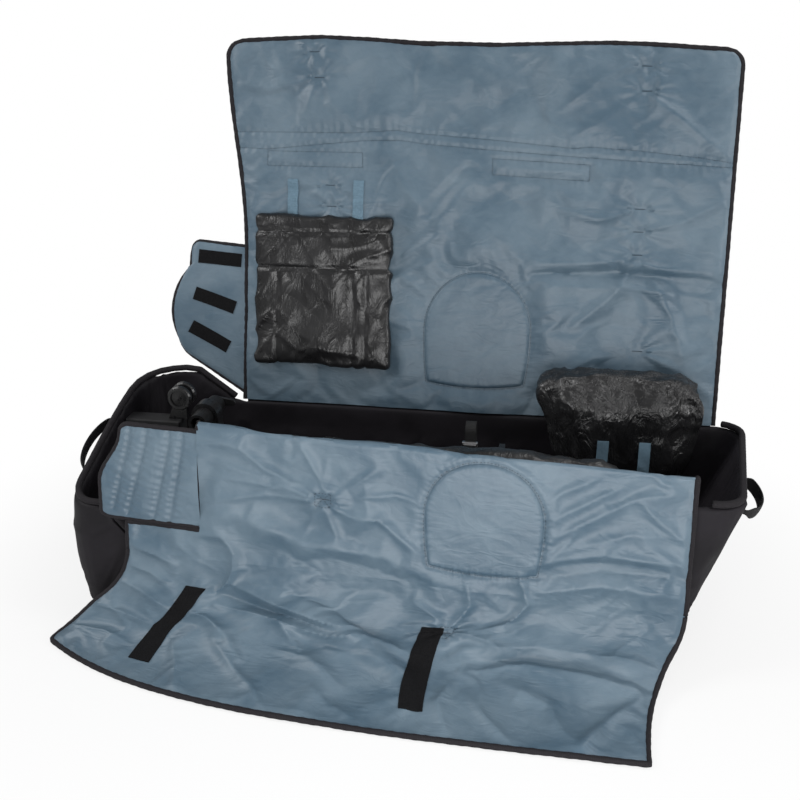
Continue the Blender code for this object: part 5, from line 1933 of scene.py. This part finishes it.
        patch = Patch("front_patch_pad", 60, 60, strip, spread, self.shares, 0.0036, 73)
        item = self.shop.pad(patch.name, patch.build(), 0.3, Finish.LINING)
        self.shop.seat(item, "front_flap", "front_hub_patch")

    def strips(self, panel: Panel) -> None:
        """Make the two hook strips on the end panel."""
        width = self.hook_width / (self.plane.end_right - self.plane.end_left)
        for name, u0, v0, u1, v1 in self.hooks:
            def place(u: Array, v: Array, u0: float = u0, v0: float = v0, u1: float = u1, v1: float = v1) -> Array:
                across = self.grid_share(mix(u0, u1, v) + (u - 0.5) * width)
                return panel.sample(across, mix(v0, v1, v), 0.0021)

            strip = Strip(name + "_pile", 12, 60, place, (self.hook_width, 0.24), (0, -0.3, 1), 0.0020)
            item = self.shop.link(strip.name, strip.build(), Finish.HOOK)
            self.shop.seat(item, "front_end", name)

    def ear_metres(self, u: Array, v: Array) -> tuple[Array, Array]:
        """X and the distance down of places on the ear, its outer corners rounded."""
        tip = mix(self.ear_tip, self.ear_width, step(v * 1.6))
        over = np.clip((u - 0.88) / 0.12, 0, 1)
        pull = 0.022 * (1 - np.sqrt(np.maximum(1 - over ** 2, 0.0)))
        return self.plane.left - 0.0003 - u * tip, mix(self.ear_head + pull, self.ear_foot - pull * 0.6, v)

    def ear(self) -> None:
        """Make the ear with its sewn channels, its binding and the loop tapes behind it."""
        def middle(u: Array, v: Array) -> Array:
            x, d = self.ear_metres(u, v)
            return self.plane.point(x, d, -0.004 * u * u * np.ones_like(d))

        panel = Panel("front_ear_pad", 78, 72, middle, self.ear_metres, (0, -1, 0.1), FRONT_EAR_RELIEF,
                      free=("right", "low", "high"), edge_run=0.010, run=ClothRun(3.0, 0.020, 14, 0.004))
        item = self.shop.pad(panel.name, panel.build(), 0.4, *TWO_FACES)
        start, end = (-0.3455, -0.22, 0.33), (-0.3560, -0.22, 0.33)
        self.shop.bend(item, "front_flap", "front_ear", start, end, "front_ear")
        path = panel.rim(("low", 0, panel.columns), ("right", 0, panel.rows), ("high", panel.columns, 0))
        edge = self.shop.tape("front_ear_binding", path, self.ear_binding)
        self.shop.bend(edge, "front_flap", "front_ear", start, end)
        for name, x0 in (("outer_ear_loop", -0.472), ("inner_ear_loop", -0.391)):
            def place(u: Array, v: Array, x0: float = x0) -> Array:
                return self.plane.point(x0 + (u - 0.5) * 0.036, 0.014 + v * 0.175, -0.0075)

            tape = Strip(name + "_pile", 8, 36, place, (0.036, 0.175), (0, 1, -0.1), 0.0018)
            piece = self.shop.link(tape.name, tape.build(), Finish.HOOK)
            self.shop.seat(piece, "front_ear", name)


# Base
@dataclass
class Walls:
    """The padded walls round the base, with the tape on their rim."""

    shop: Shop
    voxel: float = 0.0052
    names: tuple[str, ...] = ("front_wall", "rear_wall", "left_end_wall", "right_end_wall")
    bindings: tuple[str, ...] = ("left_rim_binding", "right_rim_binding")
    plane: RearPlane = field(default_factory=RearPlane)
    seed: int = 80
    swell: float = 0.0012
    billow: float = 0.0030
    wrinkle: float = 0.0018
    bulge: float = 0.014
    flap_room: float = 0.0022

    def build(self) -> None:
        """Make the walls as one sewn pad, and their bindings."""
        mesh = soft_copy(self.shop, self.names, self.voxel, 2, self.swell)
        places, normals = read_points(mesh), read_normals(mesh)
        along = places[:, 0] + 1.3 * places[:, 1]
        write_points(mesh, places + normals * self.lift(along, places, normals)[:, None])
        map_cloth(mesh, np.stack([along, places[:, 2]], axis=1))
        item = self.shop.pad("wall_pads", mesh, 0.4, Finish.SHELL)
        self.shop.seat(item, "base", *self.names)
        self.hinge_cloth()
        for name in self.bindings:
            mesh = soft_copy(self.shop, (name,), 0.0022, 1, 0.0006)
            places = read_points(mesh)
            map_cloth(mesh, np.stack([places[:, 2], places[:, 0] + places[:, 1]], axis=1))
            item = self.shop.link(name + "_tape", mesh, Finish.BINDING)
            self.shop.seat(item, "base", name)

    def lift(self, along: Array, places: Array, normals: Array) -> Array:
        """How far the walls' cloth stands off: it bulges low on the left end and gives way to the rear flap.

        Args:
            along: how far round the walls the places are.
            places: the places on the walls.
            normals: the normals there.

        Returns:
            The height in metres.
        """
        x, y, z = places.T
        noise = Billows(self.seed)
        height = self.billow * noise.at(along / 0.11, z / 0.09)
        height += self.wrinkle * noise.wrinkles(along, z, 0.032, 62.0, 3.5)
        low_down = np.sin(np.pi * np.clip((z - 0.02) / 0.23, 0, 1))
        height += self.bulge * np.clip(-normals[:, 0], 0, 1) * step((-0.55 - x) / 0.05) * low_down
        near_flap = step((y - 0.11) / 0.03) * step((z - 0.24) / 0.04)
        near_flap *= step((x - self.plane.left) / 0.02) * step((self.plane.right - x) / 0.02)
        return mix(height, -self.flap_room, near_flap)

    def hinge_cloth(self) -> None:
        """Make the cloth that joins the rear wall's top to the foot of the rear flap."""
        foot, head = -0.020, 0.006

        def place(u: Array, v: Array) -> Array:
            x = mix(self.plane.left + 0.004, self.plane.right - 0.004, u)
            s = mix(foot, head, v)
            places = self.plane.point(x, np.maximum(s, 0.0), 0.002)
            places[..., 2] += np.minimum(s, 0.0)
            return places

        strip = Strip("rear_hinge_cloth", 210, 10, place, (1.05, head - foot), (0, -1, 0.2), 0.0020)
        item = self.shop.link(strip.name, strip.build(), Finish.SHELL_BACK)
        self.shop.bend(item, "base", "rear_flap", self.plane.point(0.0, -0.004), self.plane.point(0.0, 0.006))


@dataclass
class Bags:
    """The wheel bag, the drivetrain pouch and the quilted frame cover, with their straps."""

    shop: Shop
    strap_lift: float = 0.0008
    cover_seams: tuple[float, ...] = (0.716, 0.638)
    cover_ribs: tuple[float, ...] = (-0.305, -0.130, -0.102)

    def build(self) -> None:
        """Make the three pieces and their straps."""
        self.bag("wheel_bag", Finish.BAG, ClothRun(4.0, 0.05, 10, 0.012), 0.0075, 91)
        self.bag("drivetrain_pouch", Finish.POUCH, ClothRun(2.0, 0.07, 10, 0.010), 0.0055, 92)
        self.bag("frame_cover", Finish.QUILT, ClothRun(3.0, 0.03, 10, 0.007), 0.0046, 93)
        for name, body in (("left_pouch_strap", "base"), ("right_pouch_strap", "base"),
                           ("left_cover_strap", "rear_flap"), ("right_cover_strap", "rear_flap")):
            mesh = soft_copy(self.shop, (name,), 0.0009, 1)
            places = read_points(mesh)
            map_cloth(mesh, places[:, [0, 2]])
            under = "drivetrain_pouch_skin" if body == "base" else "rear_flap_pad"
            self.lay(mesh, bpy.data.objects[under])
            item = self.shop.link(name + "_webbing", mesh, Finish.BLUE_TAPE)
            self.shop.seat(item, body, name)

    def lay(self, mesh: bpy.types.Mesh, under: bpy.types.Object) -> None:
        """Lay a strap on what is behind it.

        Args:
            mesh: the strap's mesh.
            under: the piece that it lies on.
        """
        tree = BVHTree.FromObject(under, bpy.context.evaluated_depsgraph_get())
        places = read_points(mesh)
        back = places[:, 1].copy()
        order = np.argsort(places[:, 2])
        for block in np.array_split(order, 24):
            back[block] = places[block, 1].max()
        shift = np.zeros(len(places))
        for number, (x, _, z) in enumerate(places):
            hit = tree.ray_cast(Vector((x, -1.0, z)), Vector((0.0, 1.0, 0.0)))[0]
            if hit is not None:
                shift[number] = hit.y - self.strap_lift - back[number]
        places[:, 1] += shift
        write_points(mesh, places)

    def bag(self, name: str, finish: Finish, run: ClothRun, voxel: float, seed: int) -> None:
        """Make one crushed or quilted bag.

        Args:
            name: the CAD node that it stands for.
            finish: its finish.
            run: the cloth run that crumples it.
            voxel: the size of its faces.
            seed: the seed of its wrinkles.
        """
        mesh = soft_copy(self.shop, (name,), voxel, 2)
        run.press(mesh)
        places, normals = read_points(mesh), read_normals(mesh)
        noise = Billows(seed)
        lift = 0.0035 * noise.at(places[:, 0] / 0.09, places[:, 2] / 0.06)
        lift += 0.0032 * noise.wrinkles(places[:, 0], places[:, 2] + places[:, 1], 0.042, 58.0, 3.0)
        lift += 0.0018 * noise.wrinkles(places[:, 0] + 5, places[:, 2] - places[:, 1], 0.028, -35.0, 3.0)
        if name == "frame_cover":
            for height in self.cover_seams:
                lift -= 0.0050 * np.exp(-((places[:, 2] - height) / 0.0050) ** 2)
            for across in self.cover_ribs:
                groove = np.exp(-((places[:, 0] - across) / 0.0045) ** 2)
                lift -= 0.0040 * groove * step((self.cover_seams[-1] - places[:, 2]) / 0.01)
        write_points(mesh, places + normals * lift[:, None])
        map_cloth(mesh, places[:, [0, 2]])
        item = self.shop.pad(name + "_skin", mesh, 0.5, finish)
        self.shop.seat(item, "rear_flap" if name == "frame_cover" else "base", name)


@dataclass
class Handles:
    """The webbing grab handles with the patches they are sewn to, and the small tab."""

    shop: Shop
    span: float = 0.155
    width: float = 0.025
    tip: float = 0.010
    stand: float = 0.040
    foot: float = -0.0005
    thickness: float = 0.003
    frames: tuple[tuple[str, tuple, tuple, tuple], ...] = (
        ("left", (-0.63887, -0.01678, 0.28876), (-0.096339, -0.893899, -0.437794), (-0.9953, 0.0821, 0.0513)),
        ("right", (0.69652, -0.05692, 0.29445), (0.129135, 0.991627, 0.0), (0.9293, -0.1210, -0.3489)))

    def build(self) -> None:
        """Make both handles, their patches and the tab."""
        for side, place, axis, out in self.frames:
            centre, along, away = np.array(place), unit(np.array(axis)), unit(np.array(out))
            wide = np.cross(away, along)

            def band(u: Array, v: Array, centre: Array = centre, along: Array = along, away: Array = away,
                     wide: Array = wide) -> Array:
                angle = np.pi * u
                end = np.minimum(u, 1 - u) * np.pi * self.stand
                size = mix(self.tip, self.width, step((end - self.tip / 2) / (self.width * 0.7)))
                curl = 0.0016 * np.abs(v - 0.5) ** 2 * 4
                rise = self.foot + (self.stand - self.foot - curl) * np.sin(angle)
                return (centre + along * (self.span / 2 * np.cos(angle))[:, None]
                        + wide * ((v - 0.5) * size)[:, None] + away * rise[:, None])

            band_mesh = Strip(side + "_handle_webbing", 96, 12, band, (0.190, self.width), tuple(away),
                              self.thickness)
            item = self.shop.link(band_mesh.name, self.turn_map(band_mesh.build()), Finish.TAPE)
            self.shop.seat(item, side + "_handle", side + "_handle")
            mesh = soft_copy(self.shop, (side + "_handle_patch",), 0.0012, 1)
            places = read_points(mesh)
            map_cloth(mesh, np.stack([(places - centre) @ wide, (places - centre) @ along], axis=1))
            patch = self.shop.link(side + "_handle_seat", mesh, Finish.TAPE)
            self.shop.seat(patch, "base", side + "_handle_patch")
        mesh = soft_copy(self.shop, ("pull_tab",), 0.0012, 1)
        map_cloth(mesh, read_points(mesh)[:, [0, 1]])
        self.shop.seat(self.shop.link("pull_tab_webbing", mesh, Finish.TAPE), "base", "pull_tab")

    @staticmethod
    def turn_map(mesh: bpy.types.Mesh) -> bpy.types.Mesh:
        """Swap a mesh's map so that ribs lie across the tape."""
        layer = mesh.uv_layers["cloth"]
        values = np.empty(len(mesh.loops) * 2, dtype=np.float32)
        layer.data.foreach_get("uv", values)
        layer.data.foreach_set("uv", values.reshape(-1, 2)[:, ::-1].copy().ravel())
        return mesh


@dataclass
class Hardware:
    """The rigid nodes that keep their CAD shape, and the webbing strap of the cradle."""

    shop: Shop
    finishes: dict[str, Finish] = field(default_factory=lambda: {
        "base_tray": Finish.PLASTIC, "front_skid": Finish.PLASTIC, "centre_skid": Finish.PLASTIC,
        "rear_skid": Finish.PLASTIC, "front_rail": Finish.ALLOY, "rear_rail": Finish.ALLOY,
        "fork_shoe": Finish.PLASTIC, "fork_post": Finish.GLOSS_PLASTIC, "fork_cross_tube": Finish.BLACK_ALLOY,
        "through_axle": Finish.STEEL, "axle_lever": Finish.BLACK_ALLOY, "cradle_shoe": Finish.PLASTIC,
        "cradle_post": Finish.GLOSS_PLASTIC, "cam_buckle": Finish.STEEL, "buckle_lever": Finish.STEEL,
        "front_wheel": Finish.RUBBER, "rear_wheel": Finish.RUBBER, "front_wheel_housing": Finish.PLASTIC,
        "rear_wheel_housing": Finish.PLASTIC, "wheel_axle": Finish.STEEL, "caster_socket": Finish.PLASTIC,
        "caster_arm": Finish.GLOSS_PLASTIC, "caster_wheels": Finish.GLOSS_PLASTIC})

    def build(self) -> None:
        """Dress the rigid nodes and make the strap."""
        for name, finish in self.finishes.items():
            node = self.shop.frame["nodes"][name]
            material = self.shop.wardrobe.get(finish)
            for part in node.material_slots:
                part.material = material
            log.info("%s: keeps its CAD shape, finish %s", name, finish.value[0].name)
        mesh = soft_copy(self.shop, ("bracket_strap",), 0.0009, 1)
        places = read_points(mesh)
        angle = np.arctan2(places[:, 2] - 0.355, places[:, 1]) * 0.024
        map_cloth(mesh, np.stack([places[:, 0], angle], axis=1))
        self.shop.seat(self.shop.link("bracket_strap_webbing", mesh, Finish.TAPE), "cradle_slider", "bracket_strap")


# Studio
@dataclass(frozen=True)
class Lamp:
    """A soft box."""

    name: str
    place: tuple[float, float, float]
    target: tuple[float, float, float]
    size: float
    power: float

    def build(self) -> None:
        """Hang the lamp and point it at its target."""
        light = bpy.data.lights.new(self.name, "AREA")
        light.shape = "SQUARE"
        light.size = self.size
        light.energy = self.power
        item = bpy.data.objects.new(self.name, light)
        item.location = self.place
        item.rotation_euler = (Vector(self.target) - Vector(self.place)).to_track_quat("-Z", "Y").to_euler()
        bpy.context.scene.collection.objects.link(item)


@dataclass
class Studio:
    """The pale floor, the soft light and the camera."""

    azimuth: float = math.radians(9)
    elevation: float = math.radians(21)
    place: tuple[float, float, float] = (0.312, -1.893, 1.164)
    lens: float = 45.0
    sensor: float = 36.0
    fill: float = 0.25
    mirrored: float = 0.15
    lamps: tuple[Lamp, ...] = (
        Lamp("key", (-2.2, -0.75, 2.2), (0.0, 0.1, 0.4), 1.3, 37.0),
        Lamp("top", (1.3, 0.1, 2.6), (0.2, 0.1, 0.4), 1.4, 20.0),
        Lamp("side", (2.8, -1.0, 1.3), (0.1, 0.0, 0.3), 1.0, 26.0),
        Lamp("low", (0.3, -1.75, 0.28), (0.12, -0.2, 0.22), 1.2, 28.0))

    def build(self) -> None:
        """Set up the whole studio."""
        bpy.context.scene.view_settings.view_transform = "Standard"
        self.camera()
        self.world()
        self.floor()
        for lamp in self.lamps:
            lamp.build()

    def camera(self) -> None:
        """Set the camera where the photograph was taken from."""
        data = bpy.data.cameras.new("camera")
        data.lens = self.lens
        data.sensor_width = self.sensor
        item = bpy.data.objects.new("camera", data)
        item.location = self.place
        level = math.cos(self.elevation)
        back = Vector((math.sin(self.azimuth) * level, -math.cos(self.azimuth) * level, math.sin(self.elevation)))
        item.rotation_euler = (-back).to_track_quat("-Z", "Y").to_euler()
        bpy.context.scene.collection.objects.link(item)
        bpy.context.scene.camera = item

    def world(self) -> None:
        """Light from all round: white where it is seen straight or through glass, a little brighter in reflections,
        and plain elsewhere.
        """
        world = bpy.data.worlds.new("studio")
        world.use_nodes = True
        bpy.context.scene.world = world
        tree = world.node_tree
        background = tree.nodes["Background"]
        rays = tree.nodes.new("ShaderNodeLightPath").outputs

        def joined(operation: str, *values: bpy.types.NodeSocket | float) -> bpy.types.NodeSocket:
            item = tree.nodes.new("ShaderNodeMath")
            item.operation = operation
            for number, value in enumerate(values):
                if isinstance(value, float):
                    item.inputs[number].default_value = value
                else:
                    tree.links.new(value, item.inputs[number])
            return item.outputs[0]

        seen = joined("MAXIMUM", rays["Is Camera Ray"], rays["Is Transmission Ray"])
        mirrored = joined("MULTIPLY", rays["Is Glossy Ray"], self.mirrored)
        level = tree.nodes.new("ShaderNodeMapRange")
        level.inputs["To Min"].default_value = self.fill
        level.inputs["To Max"].default_value = 1.0
        tree.links.new(joined("MAXIMUM", seen, mirrored), level.inputs["Value"])
        background.inputs["Color"].default_value = (1, 1, 1, 1)
        tree.links.new(level.outputs[0], background.inputs["Strength"])

    def floor(self) -> None:
        """A pale floor that shows white and keeps the shadow."""
        bm = bmesh.new()
        bmesh.ops.create_grid(bm, x_segments=1, y_segments=1, size=9.0)
        mesh = bpy.data.meshes.new("floor")
        bm.to_mesh(mesh)
        bm.free()
        item = bpy.data.objects.new("floor", mesh)
        item.location = (0, 0, -0.001)
        bpy.context.scene.collection.objects.link(item)
        g = Graph("floor_paint")
        g.dress(Base_Color=(0.86, 0.86, 0.86, 1), Roughness=0.9, Specular_IOR_Level=0.1)
        paths = g.node("ShaderNodeLightPath", output="Is Camera Ray")
        glow = g.node("ShaderNodeEmission", {}, {"Color": (1, 1, 1, 1), "Strength": 1.0})
        output = g.tree.nodes["Material Output"]
        radius = g.node("ShaderNodeVectorMath", {"operation": "LENGTH"}, {0: g.place()}, "Value")
        far = g.node("ShaderNodeMapRange", {"interpolation_type": "SMOOTHSTEP"},
                     {"Value": radius, "From Min": 0.65, "From Max": 1.25, "To Min": 0.80, "To Max": 1.0})
        mixed = g.node("ShaderNodeMixShader", {}, {0: paths * far, 1: Wire(g, g.shader.outputs[0]), 2: glow})
        g.tree.links.new(mixed.socket, output.inputs["Surface"])
        mesh.materials.append(g.material)


def main() -> None:
    """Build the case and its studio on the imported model."""
    logging.basicConfig(level=logging.INFO, format="%(message)s")
    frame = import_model()
    shop = Shop(frame)
    Studio().build()
    RearFlap(shop).build()
    RearEar(shop).build()
    FrontFlap(shop).build()
    Walls(shop).build()
    Bags(shop).build()
    Handles(shop).build()
    Hardware(shop).build()


if __name__ == "__main__":
    main()
